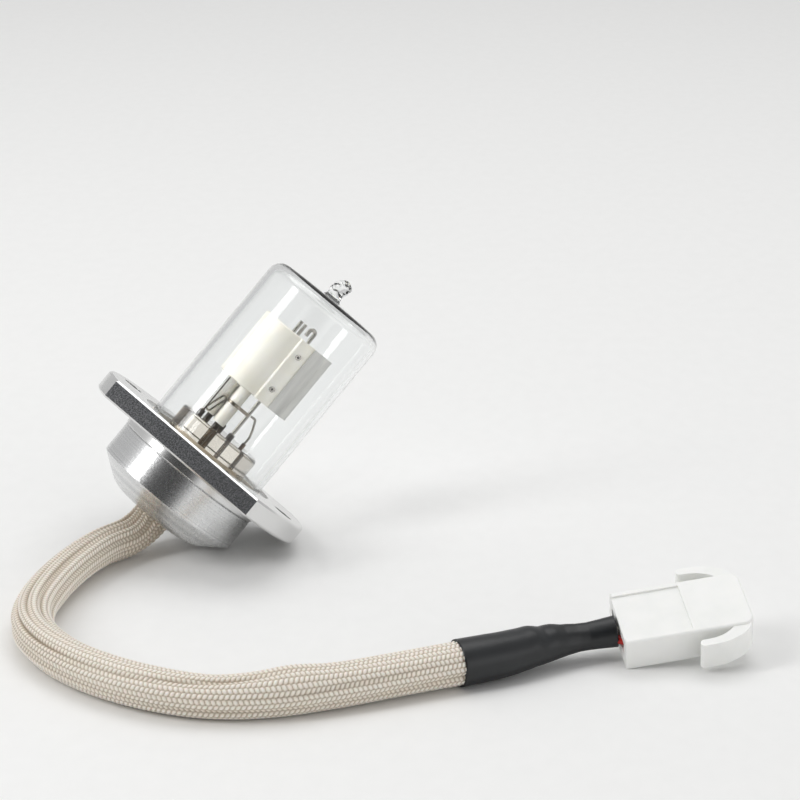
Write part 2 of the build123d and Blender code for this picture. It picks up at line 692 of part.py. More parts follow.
def base_cap():
    """Turned cup over the spigot, with a slanted shoulder and a flat face for the lead."""
    inner = SPIGOT_R + CAP_FIT
    rise = cap_slope(CAP_WALL)
    skin = turned(
        Line((0, SHOULDER_LOW), (CAP_R - CAP_EDGE, SHOULDER_LOW)),
        Line((CAP_R - CAP_EDGE, SHOULDER_LOW), (CAP_R, SHOULDER_LOW - CAP_EDGE)),
        Line((CAP_R, SHOULDER_LOW - CAP_EDGE), (CAP_R, CAP_LOW + EDGE)),
        Line((CAP_R, CAP_LOW + EDGE), (CAP_R - EDGE, CAP_LOW)),
        Line((CAP_R - EDGE, CAP_LOW), (CAP_SLANT_R, CAP_SLANT_LOW)),
        TangentArc(
            (CAP_SLANT_R, CAP_SLANT_LOW), (CAP_FACE_R, CAP_FACE),
            tangent=(CAP_SLANT_R - CAP_R + EDGE, CAP_SLANT_LOW - CAP_LOW)),
        Line((CAP_FACE_R, CAP_FACE), (0, CAP_FACE)),
        Line((0, CAP_FACE), (0, SHOULDER_LOW)),
    )
    hollow = turned(
        Line((0, SHOULDER_LOW), (inner, SHOULDER_LOW)),
        Line((inner, SHOULDER_LOW), (inner, CAP_LOW + rise)),
        Line((inner, CAP_LOW + rise), (CAP_SLANT_R, CAP_SLANT_LOW + rise)),
        TangentArc(
            (CAP_SLANT_R, CAP_SLANT_LOW + rise), (CAP_FACE_R, CAP_FACE + CAP_WALL),
            tangent=(CAP_SLANT_R - CAP_R + EDGE, CAP_SLANT_LOW - CAP_LOW)),
        Line((CAP_FACE_R, CAP_FACE + CAP_WALL), (0, CAP_FACE + CAP_WALL)),
        Line((0, CAP_FACE + CAP_WALL), (0, SHOULDER_LOW)),
    )
    return skin - hollow - post(BUSH_R, CAP_FACE, CAP_FACE + CAP_WALL)


def lead_places():
    """Where the three leads pass the bush, each on the side of its own pin."""
    return [about(angle, LEAD_PITCH_R) for angle in LEAD_PIN_TURNS]


def cable_bush():
    """Soft bush in the cap's hole, with a hole for each lead."""
    top = CAP_FACE + CAP_WALL
    bush = post(BUSH_R, CAP_FACE, top) + post(BUSH_FLANGE_R, top, top + BUSH_FLANGE)
    return bush - [post(LEAD_R, CAP_FACE, top + BUSH_FLANGE, place) for place in lead_places()]


def base_leads():
    """The three insulated leads inside the base, from the bush to their pins."""
    solids = []
    for angle, (x, y) in zip(LEAD_PIN_TURNS, lead_places()):
        pin = about(angle)
        bent = CAP_FACE + CAP_WALL + BUSH_FLANGE + LEAD_RISE
        straight = PIN_LOW - SPLICE_HALF - LEAD_FOOT
        points = ((x, y, CAP_FACE), (x, y, bent), (*pin, straight), (*pin, PIN_LOW))
        solids.append(wire(points, (LEAD_BEND_R, LEAD_BEND_R), LEAD_R))
    return group(solids)


def splice_sleeves():
    """Crimped sleeves over the joints between leads and pins."""
    solids = []
    for angle in LEAD_PIN_TURNS:
        place = about(angle)
        sleeve = post(LEAD_R + SPLICE_WALL, PIN_LOW - SPLICE_HALF, PIN_LOW + SPLICE_HALF, place)
        sleeve -= post(LEAD_R, PIN_LOW - SPLICE_HALF, PIN_LOW, place)
        solids.append(sleeve - post(PIN_R, PIN_LOW, PIN_LOW + SPLICE_HALF, place))
    return group(solids)


# Plug and lead, drawn in the plug's own axes: +X to its mouth, +Z to its top

def way_offsets():
    """Offsets of the three ways across the plug."""
    return (-WAY_PITCH, 0.0, WAY_PITCH)


def lever(side):
    """Finger lever that springs from the front corner and stands out at its free end."""
    edge = PLUG_WIDTH / 2
    free = PLUG_LENGTH - LEVER_LENGTH
    outer_top = edge + LEVER_OUT
    outer = Spline(
        (PLUG_LENGTH - LEVER_ROOT / 4, edge - LEVER_ROOT / 3),
        (PLUG_LENGTH - LEVER_LENGTH * LEVER_NOSE[0], edge + LEVER_OUT * LEVER_NOSE[1]),
        (PLUG_LENGTH - LEVER_LENGTH * LEVER_SHOULDER[0], edge + LEVER_OUT * LEVER_SHOULDER[1]),
        (free, outer_top),
        tangents=((-0.3, 1), (-1, 0.05)),
    )
    inner = Spline(
        (free, outer_top - LEVER_WALL),
        (PLUG_LENGTH - LEVER_LENGTH * LEVER_HOLLOW, outer_top - LEVER_WALL * LEVER_THICKER),
        (PLUG_LENGTH - LEVER_LENGTH * LEVER_JOIN, edge - LEVER_END_R / 2),
        tangents=((1, 0), (1, -1)),
    )
    root = (PLUG_LENGTH - LEVER_LENGTH * LEVER_JOIN, edge - LEVER_ROOT)
    face = make_face([
        outer,
        Line(outer @ 1, inner @ 0),
        inner,
        Line(inner @ 1, root),
        Line(root, (PLUG_LENGTH - LEVER_ROOT / 4, edge - LEVER_ROOT)),
        Line((PLUG_LENGTH - LEVER_ROOT / 4, edge - LEVER_ROOT), outer @ 0),
    ])
    face = fillet(face.vertices().sort_by(Axis.X)[:2], LEVER_END_R)
    solid = extrude(Pos(0, 0, LEVER_LOW) * face, PLUG_THICK - LEVER_TOP_STEP - LEVER_LOW)
    return solid if side > 0 else mirror(solid, Plane.XZ)


def plug_housing():
    """White nylon housing: three ways, an open mouth, two rails on top and two finger levers."""
    outline = Pos(PLUG_LENGTH / 2, 0) * Rectangle(PLUG_LENGTH, PLUG_WIDTH)
    outline = fillet(outline.vertices().group_by(Axis.X)[-1], PLUG_FRONT_CORNER)
    body = extrude(outline, PLUG_THICK)
    body = fillet(body.faces().sort_by(Axis.Z)[-1].edges(), PLUG_EDGE)
    rail_y = PLUG_WIDTH / 2 - RAIL_WIDTH
    body -= brick((0, RAIL_LENGTH), (-rail_y, rail_y), (PLUG_THICK - RAIL_HEIGHT, PLUG_THICK))
    body += lever(1)
    body += lever(-1)
    middle = PLUG_THICK / 2
    mouth = PLUG_THICK / 2 - MOUTH_WALL
    half = PLUG_WIDTH / 2 - MOUTH_WALL
    body -= brick((PLUG_LENGTH - MOUTH_DEPTH, PLUG_LENGTH), (-half, half), (middle - mouth, middle + mouth))
    for y in way_offsets():
        way = WAY_SIZE / 2
        body -= brick((0, PLUG_LENGTH - MOUTH_DEPTH), (y - way, y + way), (middle - way, middle + way))
    body -= [plug_wire(way, WIRE_R + WIRE_GAP) for way in (0, 2)]
    return body


def pin_terminals():
    """Crimped pin contacts, one in each way, each held by a lance that bears on the way's roof."""
    solids = []
    middle = PLUG_THICK / 2
    half = TERMINAL_BARREL / 2
    start = TERMINAL_BACK
    end = start + TERMINAL_BARREL_LENGTH
    tip = PLUG_LENGTH - MOUTH_DEPTH + TERMINAL_PIN_OUT
    for y in way_offsets():
        barrel = brick((start, end), (y - half, y + half), (middle - half, middle + half))
        barrel -= Plane((start, y, middle), z_dir=(1, 0, 0)).location * Cylinder(
            WIRE_R, CRIMP_DEPTH, align=UPRIGHT)
        pin = Plane((end, y, middle), z_dir=(1, 0, 0)).location * Cylinder(
            TERMINAL_PIN_R, tip - end, align=UPRIGHT)
        pin = chamfer(pin.faces().sort_by(Axis.X)[-1].edges(), TERMINAL_PIN_R / 2)
        lance = brick(
            (end - LANCE_LENGTH, end),
            (y - LANCE_WIDTH / 2, y + LANCE_WIDTH / 2),
            (middle, middle + WAY_SIZE / 2))
        solids.append(barrel + lance + pin)
    return group(solids)


def plug_wire(way, radius=WIRE_R):
    """Short length of wire seen between the shrink's mouth and the plug."""
    y = way_offsets()[way]
    start = (way - 1) * WIRE_SPREAD
    middle = PLUG_THICK / 2
    end = TERMINAL_BACK + CRIMP_DEPTH
    if way == 1:
        return Plane((-MOUTH_GAP, 0, middle), z_dir=(1, 0, 0)).location * Cylinder(
            radius, end + MOUTH_GAP, align=UPRIGHT)
    points = (
        (-MOUTH_GAP, start, middle), (-MOUTH_GAP + WIRE_STRAIGHT, start, middle),
        (TERMINAL_BACK - WIRE_STRAIGHT, y, middle), (end, y, middle))
    return wire(points, WIRE_BENDS, radius)


# Places on the bench

def resting():
    """How the upright lamp is turned: it leans on its flange's corner and the rim of its cap."""
    return Rot(0, 0, LAMP_HEADING) * Rot(0, REST_TILT, 0) * Rot(0, 0, -FLAT_CORNER)


def plug_turn():
    """How the plug lies: rolled on to its lower edge and one lever."""
    return Rot(0, 0, PLUG_HEADING) * Rot(0, -PLUG_TILT, 0) * Rot(PLUG_ROLL, 0, 0)


def lead_route(exit_point, axis):
    """Points of the sleeve's line: out of the cap, down to the bench in equal turns, and round."""
    down = axis * -1
    points = [exit_point]
    for _ in range(AIM_PASSES):
        ahead = Vector(*ROUTE[0]) - points[-1]
        ahead = Vector(ahead.X, ahead.Y, 0).normalized()
        whole = radians(down.get_angle(ahead))
        headings = []
        for step in range(EXIT_TURNS):
            turned_by = whole * step / EXIT_TURNS
            heading = down * sin(whole - turned_by) + ahead * sin(turned_by)
            headings.append(heading.normalized())
        run = (exit_point.Z - SLEEVE_R) / -sum(heading.Z for heading in headings)
        points = [exit_point]
        for heading in headings:
            points.append(points[-1] + heading * run)
    return points + [Vector(*point) for point in ROUTE]


def corner_radii(points):
    """Radius of each arc: a share of the shorter run over the tangent of half the turn."""
    radii = []
    for before, here, after in zip(points, points[1:], points[2:]):
        turn = radians((here - before).get_angle(after - here))
        run = min((here - before).length, (after - here).length)
        radii.append(ARC_SHARE * run / tan(turn / 2))
    return radii


def braided_sleeve(points):
    """The braided lead from the base cap to its end inside the shrink."""
    radii = corner_radii(points)
    path = FilletPolyline(*points, radius=radii)
    sleeve = sweep(Plane(path @ 0, z_dir=path % 0) * Circle(SLEEVE_R), path)
    print("lead radii", [round(radius, 1) for radius in radii])
    print("lead length", round(path.length, 1))
    plain_volume = pi * SLEEVE_R ** 2 * path.length
    print("lead volume against section times length", round(sleeve.volume / plain_volume, 4))
    return sleeve


def heat_shrink(points, plug_place):
    """Black shrink sleeve: over the braid's end, necked on the wires and flared at the plug."""
    end = points[-1]
    heading = (end - points[-2]).normalized()
    mouth = plug_place * Pos(-MOUTH_GAP, 0, PLUG_THICK / 2)
    mouth_point = mouth.position
    mouth_dir = Plane(plug_place).x_dir
    gap = (mouth_point - end).length
    sections = [
        Plane(end - heading * SHRINK_LAP, z_dir=heading) * Circle(SHRINK_R),
        Plane(end, z_dir=heading) * Circle(SHRINK_R),
    ]
    for share, radius in SHRINK_STEPS:
        straight = end + heading * gap * share
        other = mouth_point - mouth_dir * gap * (1 - share)
        blend = share * share * (3 - 2 * share)
        middle = straight * (1 - blend) + other * blend
        direction = (heading * (1 - share) + mouth_dir * share).normalized()
        sections.append(Plane(middle, z_dir=direction) * Circle(radius))
    sections.append(Plane(mouth_point, z_dir=mouth_dir) * Circle(SHRINK_MOUTH_R))
    skin = loft(sections)
    pocket = Plane(end - heading * SHRINK_LAP, z_dir=heading).location * Cylinder(
        SLEEVE_R, SHRINK_LAP, align=UPRIGHT)
    return skin - pocket


def build():
    """Every piece of the part, by name, in its place."""
    plain = {
        "glass_envelope": glass_envelope(),
        "flange": flange(),
        "bulb_cement": bulb_cement(),
        "base_cap": base_cap(),
    }
    turned_with_electrodes = {
        "glass_stem": glass_stem(),
        "stem_cement": stem_cement(),
        "lead_in_pins": lead_in_pins(),
        "pin_collars": pin_collars(),
        "ceramic_body": ceramic_body(),
        "ceramic_spacer": ceramic_spacer(),
        "body_eyelets": body_eyelets(),
        "front_cover": front_cover(),
        "aperture_plate": aperture_plate(),
        "cathode_shield": cathode_shield(),
        "cathode_coil": cathode_coil(),
        "cathode_legs": cathode_legs(),
        "anode_plate": anode_plate(),
        "anode_rod": anode_rod(),
        "support_rods": support_rods(),
        "insulator_tube": insulator_tube(),
        "tube_strap": tube_strap(),
        "lead_channel": lead_channel(),
        "channel_loop": channel_loop(),
        "hook_wire": hook_wire(),
        "cable_bush": cable_bush(),
        "base_leads": base_leads(),
        "splice_sleeves": splice_sleeves(),
    }
    turn = resting()
    lamp = {name: turn * shape for name, shape in plain.items()}
    electrode_turn = turn * Rot(0, 0, ELECTRODE_TURN)
    lamp.update({name: electrode_turn * shape for name, shape in turned_with_electrodes.items()})
    box = Compound(list(lamp.values())).bounding_box()
    shift = Pos(-(box.min.X + box.max.X) / 2, -(box.min.Y + box.max.Y) / 2, -box.min.Z)
    nodes = {name: shift * shape for name, shape in lamp.items()}

    axis = Plane(turn).z_dir
    seat = shift.position
    exit_point = seat + axis * CAP_FACE
    points = lead_route(exit_point, axis)
    print("seat centre", [round(v, 3) for v in seat], "lamp axis", [round(v, 4) for v in axis])
    print("lamp box", box.size, "lead leaves at", [round(v, 3) for v in exit_point])

    housing = plug_housing()
    lie = plug_turn()
    plug_place = Pos(*PLUG_PLACE, -(lie * housing).bounding_box().min.Z) * lie
    mouth = plug_place * Pos(PLUG_LENGTH, 0, PLUG_THICK / 2)
    print("plug back at", [round(v, 3) for v in plug_place.position])
    print("plug mouth at", [round(v, 3) for v in mouth.position])
    nodes["braided_sleeve"] = braided_sleeve(points)
    nodes["heat_shrink"] = heat_shrink(points, plug_place)
    nodes["wire_red"] = plug_place * plug_wire(0)
    nodes["wire_white"] = plug_place * plug_wire(1)
    nodes["wire_grey"] = plug_place * plug_wire(2)
    nodes["plug_housing"] = plug_place * housing
    nodes["pin_terminals"] = plug_place * pin_terminals()
    return nodes


os.makedirs("parts", exist_ok=True)
for name, shape in build().items():
    export_step(shape, f"parts/{name}.step")
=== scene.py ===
import math

import bmesh
import bpy
import numpy as np
from mathutils import Euler, Matrix, Vector


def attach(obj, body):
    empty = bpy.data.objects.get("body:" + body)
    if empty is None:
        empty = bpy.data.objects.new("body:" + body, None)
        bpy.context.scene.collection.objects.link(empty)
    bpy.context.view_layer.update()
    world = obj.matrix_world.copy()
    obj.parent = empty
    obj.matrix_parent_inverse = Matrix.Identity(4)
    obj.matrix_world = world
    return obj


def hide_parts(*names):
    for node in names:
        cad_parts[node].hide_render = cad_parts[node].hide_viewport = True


bl_info = {
    "name": "Deuterium lamp dresser",
    "version": (1, 0, 0),
    "blender": (4, 5, 0),
    "location": "3D View > Sidebar > Deuterium lamp",
    "description": "Dresses the deuterium lamp's frame with glass, ceramic, metal, braid and plastic",
    "category": "Object",
}

MM = 0.001
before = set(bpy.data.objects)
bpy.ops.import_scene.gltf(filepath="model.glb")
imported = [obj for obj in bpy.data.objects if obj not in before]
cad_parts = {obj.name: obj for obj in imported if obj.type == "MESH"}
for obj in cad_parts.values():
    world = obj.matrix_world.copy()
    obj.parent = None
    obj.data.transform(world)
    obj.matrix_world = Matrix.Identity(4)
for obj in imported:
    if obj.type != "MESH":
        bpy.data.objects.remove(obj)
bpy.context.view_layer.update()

# How the lamp lies, as in the part's source: its seat's centre, its heading, the lean that sets both the flange's
# rim and the cap's edge on the bench, and the turn that rests it on the corner of a flat.
SEAT = Vector((-6.359, 0.176, 20.637)) * MM
FLANGE_RADIUS = 25.75 * MM
FLAT_PLACE = 17.25 * MM
CAP_BELOW_FLANGE = 9.0 * MM
FLANGE_PAST_CAP = 9.4 * MM
LAMP = (
    Matrix.Translation(SEAT)
    @ Matrix.Rotation(math.radians(22.9), 4, "Z")
    @ Matrix.Rotation(math.atan2(CAP_BELOW_FLANGE, FLANGE_PAST_CAP), 4, "Y")
    @ Matrix.Rotation(-math.asin(FLAT_PLACE / FLANGE_RADIUS), 4, "Z")
)
LAMP_AXIS = LAMP.col[2].to_3d()
ELECTRODES = LAMP @ Matrix.Rotation(math.radians(27.0), 4, "Z")
# The nickel channel in the electrodes' axes: its middle, how far off its side walls begin, and where its lips begin.
CHANNEL_MIDDLE = -5.09 * MM
CHANNEL_SIDE = 1.2 * MM
CHANNEL_LIP = -2.8 * MM

# The plug's place on the bench: its back, then heading, rise and roll.
PLUG = (
    Matrix.Translation(Vector((74.7, -53.6, 2.236)) * MM)
    @ Matrix.Rotation(math.radians(7.5), 4, "Z")
    @ Matrix.Rotation(math.radians(-7.0), 4, "Y")
    @ Matrix.Rotation(math.radians(19.5), 4, "X")
)
PLUG_MIDDLE = 3.5 * MM
PLUG_EDGE = 0.4 * MM
MOUTH_GAP = 0.5 * MM

# Where the lead leaves the cap, and its route from there in millimetres, as in the part's source: in five turns
# down to the bench, and then along it.
CABLE_FACE = -17.5 * MM
EXIT = SEAT + LAMP_AXIS * CABLE_FACE
ROUTE = (
    (-18.565, -4.980, 6.798), (-19.718, -5.623, 5.791), (-20.930, -6.442, 5.008), (-22.166, -7.412, 4.472),
    (-23.386, -8.504, 4.2), (-27.9, -12.8, 4.2), (-32.7, -22.6, 4.2), (-36.2, -34.3, 4.2), (-37.4, -46.3, 4.2),
    (-34.4, -56.3, 4.2), (-26.9, -65.8, 4.2), (-15.9, -73.8, 4.2), (-3.4, -78.8, 4.2), (9.6, -78.8, 4.2),
    (23.6, -74.3, 4.25), (35.6, -69.3, 4.3), (49.8, -63.9, 4.4),
)

# The lead's skin. Places along it are shares of its length, from 0 at the cap to 1 at the shrink sleeve.
STEPS_PER_BEAD = 4
POINTS_PER_COLUMN = 6
BEAD_SLANT = 0.45
# Width over height, as the loose braid lies flattened or full by turns.
LEAD_WIDTHS = (
    (0, 0.98), (0.06, 1.0), (0.14, 1.08), (0.24, 1.1), (0.36, 1.0), (0.46, 0.97), (0.6, 1.02), (0.7, 0.96),
    (0.8, 0.99), (0.9, 1.03), (1, 1.0))
# Lengthwise folds: angle round the lead, how far it wanders, width, depth as a share of the radius, start and stop.
LEAD_FOLDS = (
    (-0.25, 0.22, 0.20, 0.13, 0.0, 1.2), (0.42, 0.16, 0.12, 0.15, -0.2, 0.42), (0.92, 0.14, 0.12, 0.17, -0.2, 0.5),
    (1.45, 0.2, 0.12, 0.15, -0.2, 0.36), (2.0, 0.2, 0.16, 0.13, -0.2, 0.5), (1.0, 0.55, 0.18, 0.16, 0.46, 0.82),
    (0.35, 0.2, 0.14, 0.10, 0.6, 1.2), (3.6, 0.3, 0.3, 0.06, -0.2, 1.2))
FOLD_FADE = 0.03
RIDGES = 9
RIDGE_DEPTH = 0.1
BEND_END = 0.4
BEND_FADE = 0.05
# One slack place, thin and then swollen, where the braid was pushed along: place, width and rise of the top side.
LEAD_SLACK = ((0.755, 0.035, 0.2), (0.66, 0.04, -0.1))
# The first stretch, by the cap, is drawn darker with painted shade: place, width and loss of light.
CAP_SHADE_PLACE, CAP_SHADE_WIDTH, CAP_SHADE_LOSS = 0.02, 0.06, 0.5
# Fold depth, as a share of the radius, over which the creases fill with painted shade.
CREASE_SHADE_DEPTH = 0.26

# The shrink sleeve. Places along it are -1 in its lap over the braid, 0 at the braid's end and 1 at the plug.
SLEEVE_LAP = 6.0 * MM
SLEEVE_STEP = 0.22 * MM
SLEEVE_RADII_MM = (
    (-1, 4.5), (-0.28, 4.5), (-0.22, 4.46), (0, 4.36), (0.12, 4.25), (0.2, 4.16), (0.3, 3.98), (0.42, 3.7),
    (0.52, 3.36), (0.62, 2.98), (0.72, 2.66), (0.8, 2.62), (0.9, 2.8), (1.0, 3.0))
SLEEVE_LIFT_MM = ((-0.2, 0.0), (0.1, 0.12), (0.35, 0.45), (0.6, 0.3), (0.8, 0.0))
# Waves of its top side, as it steps down, dips and swells once more: place, width and share of the radius.
SLEEVE_WAVES = ((0.33, 0.05, 0.035), (0.43, 0.035, -0.045), (0.53, 0.045, 0.04), (0.61, 0.03, -0.02))
NECK_PLACE, NECK_WIDTH = 0.7, 0.17

# The glass envelope in the lamp's axes, in millimetres; outlines are radius and height.
BULB_FOOT = -8.0
BULB_TOP = 40.0
BULB_LIP = 0.1
SHOULDER = 3.0
DOME_RISE = 0.35
DOME_RADIUS = 11.0
NUB_FOOT = 40.6
NUB = (
    (2.15, 40.4), (1.9, NUB_FOOT), (1.7, 40.85), (1.6, 41.1), (1.57, 41.4), (1.6, 41.7), (1.67, 42.0), (1.76, 42.3),
    (1.87, 42.6), (1.96, 42.9), (2.02, 43.2), (2.0, 43.5), (1.92, 43.8), (1.78, 44.1), (1.58, 44.4), (1.34, 44.7),
    (1.02, 44.95), (0.68, 45.15), (0.34, 45.3), (0.0, 45.36))
# The nub's twisted lobes: size as a share of the radius, how many, turn in radians a millimetre, and first angle.
NUB_LOBES = ((0.10, 2, 1.6, 0.0), (0.06, 3, -1.9, 1.0), (0.035, 6, 3.5, 0.0))
NUB_LEAN = Vector((0.746, 0.016, -0.665)) * 0.022 * MM
CEMENT_CLEARANCE = 0.05 * MM

# The cathode coil in the electrodes' axes, in millimetres: distance and bearing, middle, length and coated wire.
COIL_OFFSET = 6.3
COIL_BEARING = math.radians(-48)
COIL_MIDDLE = 22.45
COIL_LENGTH = 5.6
COIL_TURNS = 8
COIL_RADIUS = 0.56
COIL_WIRE_RADIUS = 0.36

# The photograph's view: its width and focal length in pixels, and where it was taken from.
PHOTO_WIDTH = 800
PHOTO_FOCUS = 2404
SENSOR_WIDTH = 36.0
CAMERA_PLACE = Vector((33.521, -463.704, 202.52)) * MM
CAMERA_DIP = math.radians(20.24)

# Parts of the room that differ from the rest: direction, cosine where the change starts and ends, and brightness.
# They are a dark end that the flange faces and a bright wall to the right of it.
ROOM_PATCHES = (((-0.25, -0.86, 0.43), 0.76, 0.91, 0.09), ((0.73, -0.68, 0.0), 0.82, 0.92, 2.3))
# Studio lights: place, what they aim at, width, height, and power as a share of the key light's.
STUDIO_LIGHTS = {
    "top_light": ((0.1, 0.25, 0.9), (0, -0.03, 0), 0.8, 0.6, 1.15),
    "window_light": ((-0.59, -0.275, 0.55), (0, 0, 0.03), 0.19, 0.55, 1.0),
}


def colour(code):
    """Linear RGBA from an sRGB hex code such as #D9CFC0."""
    parts = [int(code[i:i + 2], 16) / 255 for i in (1, 3, 5)]
    return tuple(p / 12.92 if p <= 0.04045 else ((p + 0.055) / 1.055) ** 2.4 for p in parts) + (1.0,)


def apart(size):
    """Noise scale that lays marks about this many millimetres apart."""
    return 1 / (size * MM)


def add(tree, kind, sockets=None, stops=(), **settings):
    """Adds a node with its settings, its sockets' constants or links, and a ramp's stops of place and colour."""
    made = tree.nodes.new(kind)
    for name, value in settings.items():
        setattr(made, name, value)
    for socket, value in (sockets or {}).items():
        if isinstance(value, bpy.types.NodeSocket):
            tree.links.new(value, made.inputs[socket])
        else:
            made.inputs[socket].default_value = value
    for index, (place, shade) in enumerate(stops):
        marks = made.color_ramp.elements
        mark = marks[index] if index < 2 else marks.new(place)
        mark.position = place
        mark.color = shade
    return made


def start_material(name):
    """An empty material and its node tree."""
    made = bpy.data.materials.new(name)
    made.use_nodes = True
    made.node_tree.nodes.clear()
    return made, made.node_tree


def finished(made, body):
    """The material with its surface shader joined to the output."""
    add(made.node_tree, "ShaderNodeOutputMaterial", {"Surface": body.outputs[0]})
    return made


def within(tree, place):
    """Coordinates in the axes of the lamp, the electrodes or the plug, in metres."""
    spot = add(tree, "ShaderNodeTexCoord").outputs["Object"]
    return add(tree, "ShaderNodeMapping", {
        "Vector": spot, "Location": place.to_translation(), "Rotation": place.to_euler()},
        vector_type="TEXTURE").outputs["Vector"]


# Materials. A pixel is about 0.2 mm here, so grain and tool marks that are finer on the real lamp are drawn as
# coarse as they need to show, 0.23 mm to 1.7 mm apart.

def fused_silica(tint):
    """Fused silica, drawn tube: water clear, mirror smooth, a bright rim where the wall is seen edge on."""
    made, tree = start_material("fused_silica_tube")
    glass = add(tree, "ShaderNodeBsdfPrincipled", {
        "Base Color": tint, "Roughness": 0.0, "IOR": 1.458, "Transmission Weight": 1.0})
    return finished(made, glass)


def stem_glass():
    """Pressed sealing glass: clear with a warm cast and a skin that waves every 4.5 mm."""
    made, tree = start_material("pressed_sealing_glass")
    ripple = add(tree, "ShaderNodeTexNoise", {"Vector": within(tree, LAMP), "Scale": apart(4.545), "Detail": 2.0})
    bump = add(tree, "ShaderNodeBump", {"Height": ripple.outputs[0], "Strength": 0.06, "Distance": 0.2 * MM})
    glass = add(tree, "ShaderNodeBsdfPrincipled", {
        "Base Color": colour("#FAF3E8"), "Roughness": 0.03, "IOR": 1.5, "Transmission Weight": 1.0,
        "Normal": bump.outputs[0]})
    return finished(made, glass)


def cream_cement():
    """Lamp cement, poured and fired: matt cream with a sandy skin and mottles 2.4 mm apart."""
    made, tree = start_material("fired_lamp_cement")
    mottle = add(tree, "ShaderNodeTexNoise", {"Vector": within(tree, LAMP), "Scale": apart(2.381), "Detail": 5.0})
    shade = add(tree, "ShaderNodeValToRGB", {"Fac": mottle.outputs[0]}, (
        (0.3, colour("#F1E8DB")), (0.7, colour("#FCF8EF"))))
    bump = add(tree, "ShaderNodeBump", {"Height": mottle.outputs[0], "Strength": 0.5, "Distance": 0.2 * MM})
    body = add(tree, "ShaderNodeBsdfPrincipled", {
        "Base Color": shade.outputs[0], "Roughness": 0.85, "Normal": bump.outputs[0]})
    return finished(made, body)


def ivory_ceramic():
    """Sintered alumina, dry pressed: ivory with faint clouds, slightly translucent, a fine eggshell surface."""
    made, tree = start_material("sintered_alumina")
    where = within(tree, LAMP)
    cloud = add(tree, "ShaderNodeTexNoise", {"Vector": where, "Scale": apart(6.25), "Detail": 3.0})
    shade = add(tree, "ShaderNodeValToRGB", {"Fac": cloud.outputs[0]}, (
        (0.35, colour("#F6F1E3")), (0.65, colour("#FEFBF1"))))
    grain = add(tree, "ShaderNodeTexNoise", {"Vector": where, "Scale": apart(0.3846), "Detail": 2.0})
    bump = add(tree, "ShaderNodeBump", {"Height": grain.outputs[0], "Strength": 0.15, "Distance": 0.1 * MM})
    body = add(tree, "ShaderNodeBsdfPrincipled", {
        "Base Color": shade.outputs[0], "Roughness": 0.48, "IOR": 1.76, "Subsurface Weight": 0.2,
        "Subsurface Radius": (0.8, 0.7, 0.5), "Subsurface Scale": 1 * MM, "Normal": bump.outputs[0]})
    return finished(made, body)


def worked_metal(name, dark, light, rough, marks, streak, relief):
    """A worked metal: marks so many millimetres apart, drawn out along the lamp where streak is under 1."""
    made, tree = start_material(name)
    where = add(tree, "ShaderNodeMapping", {"Vector": within(tree, LAMP), "Scale": (1.0, 1.0, streak)})
    grain = add(tree, "ShaderNodeTexNoise", {"Vector": where.outputs[0], "Scale": apart(marks), "Detail": 4.0})
    shade = add(tree, "ShaderNodeValToRGB", {"Fac": grain.outputs[0]}, ((0.3, colour(dark)), (0.7, colour(light))))
    gloss = add(tree, "ShaderNodeMapRange", {
        "Value": grain.outputs[0], "To Min": rough - 0.05, "To Max": rough + 0.08})
    bump = add(tree, "ShaderNodeBump", {"Height": grain.outputs[0], "Strength": relief, "Distance": 0.1 * MM})
    body = add(tree, "ShaderNodeBsdfPrincipled", {
        "Base Color": shade.outputs[0], "Metallic": 1.0, "Roughness": gloss.outputs[0], "Normal": bump.outputs[0]})
    return finished(made, body)


def nickel_sheet():
    """Rolled nickel sheet, matt from its firing: warm bright grey with faint streaks along the lamp."""
    return worked_metal("rolled_nickel_sheet", "#C6C5C2", "#DAD9D5", 0.4, 1.111, 0.12, 0.12)


def nickel_wire():
    """Drawn nickel wire: bright, with die lines along it."""
    return worked_metal("drawn_nickel_wire", "#93908A", "#C6C3BC", 0.15, 0.6667, 0.08, 0.15)


def pin_alloy():
    """Nickel-cobalt iron pins, oxidised by sealing: brown grey and half matt."""
    return worked_metal("oxidised_sealing_alloy", "#4A4038", "#85786A", 0.34, 1.429, 0.3, 0.25)


def tinted_strap():
    """Nickel strap, straw coloured by welding heat."""
    return worked_metal("heat_tinted_strap", "#7A7266", "#B8B0A4", 0.34, 1.25, 1.0, 0.25)


def molybdenum():
    """Molybdenum plate, sheared and blasted: a cool flat grey."""
    return worked_metal("blasted_molybdenum", "#7C7E82", "#9A9CA0", 0.4, 0.5556, 1.0, 0.3)


def tinned_copper():
    """Tinned copper crimps: soft silver with dull patches."""
    return worked_metal("tinned_copper", "#A8A59C", "#D2D0C8", 0.3, 1.667, 1.0, 0.2)


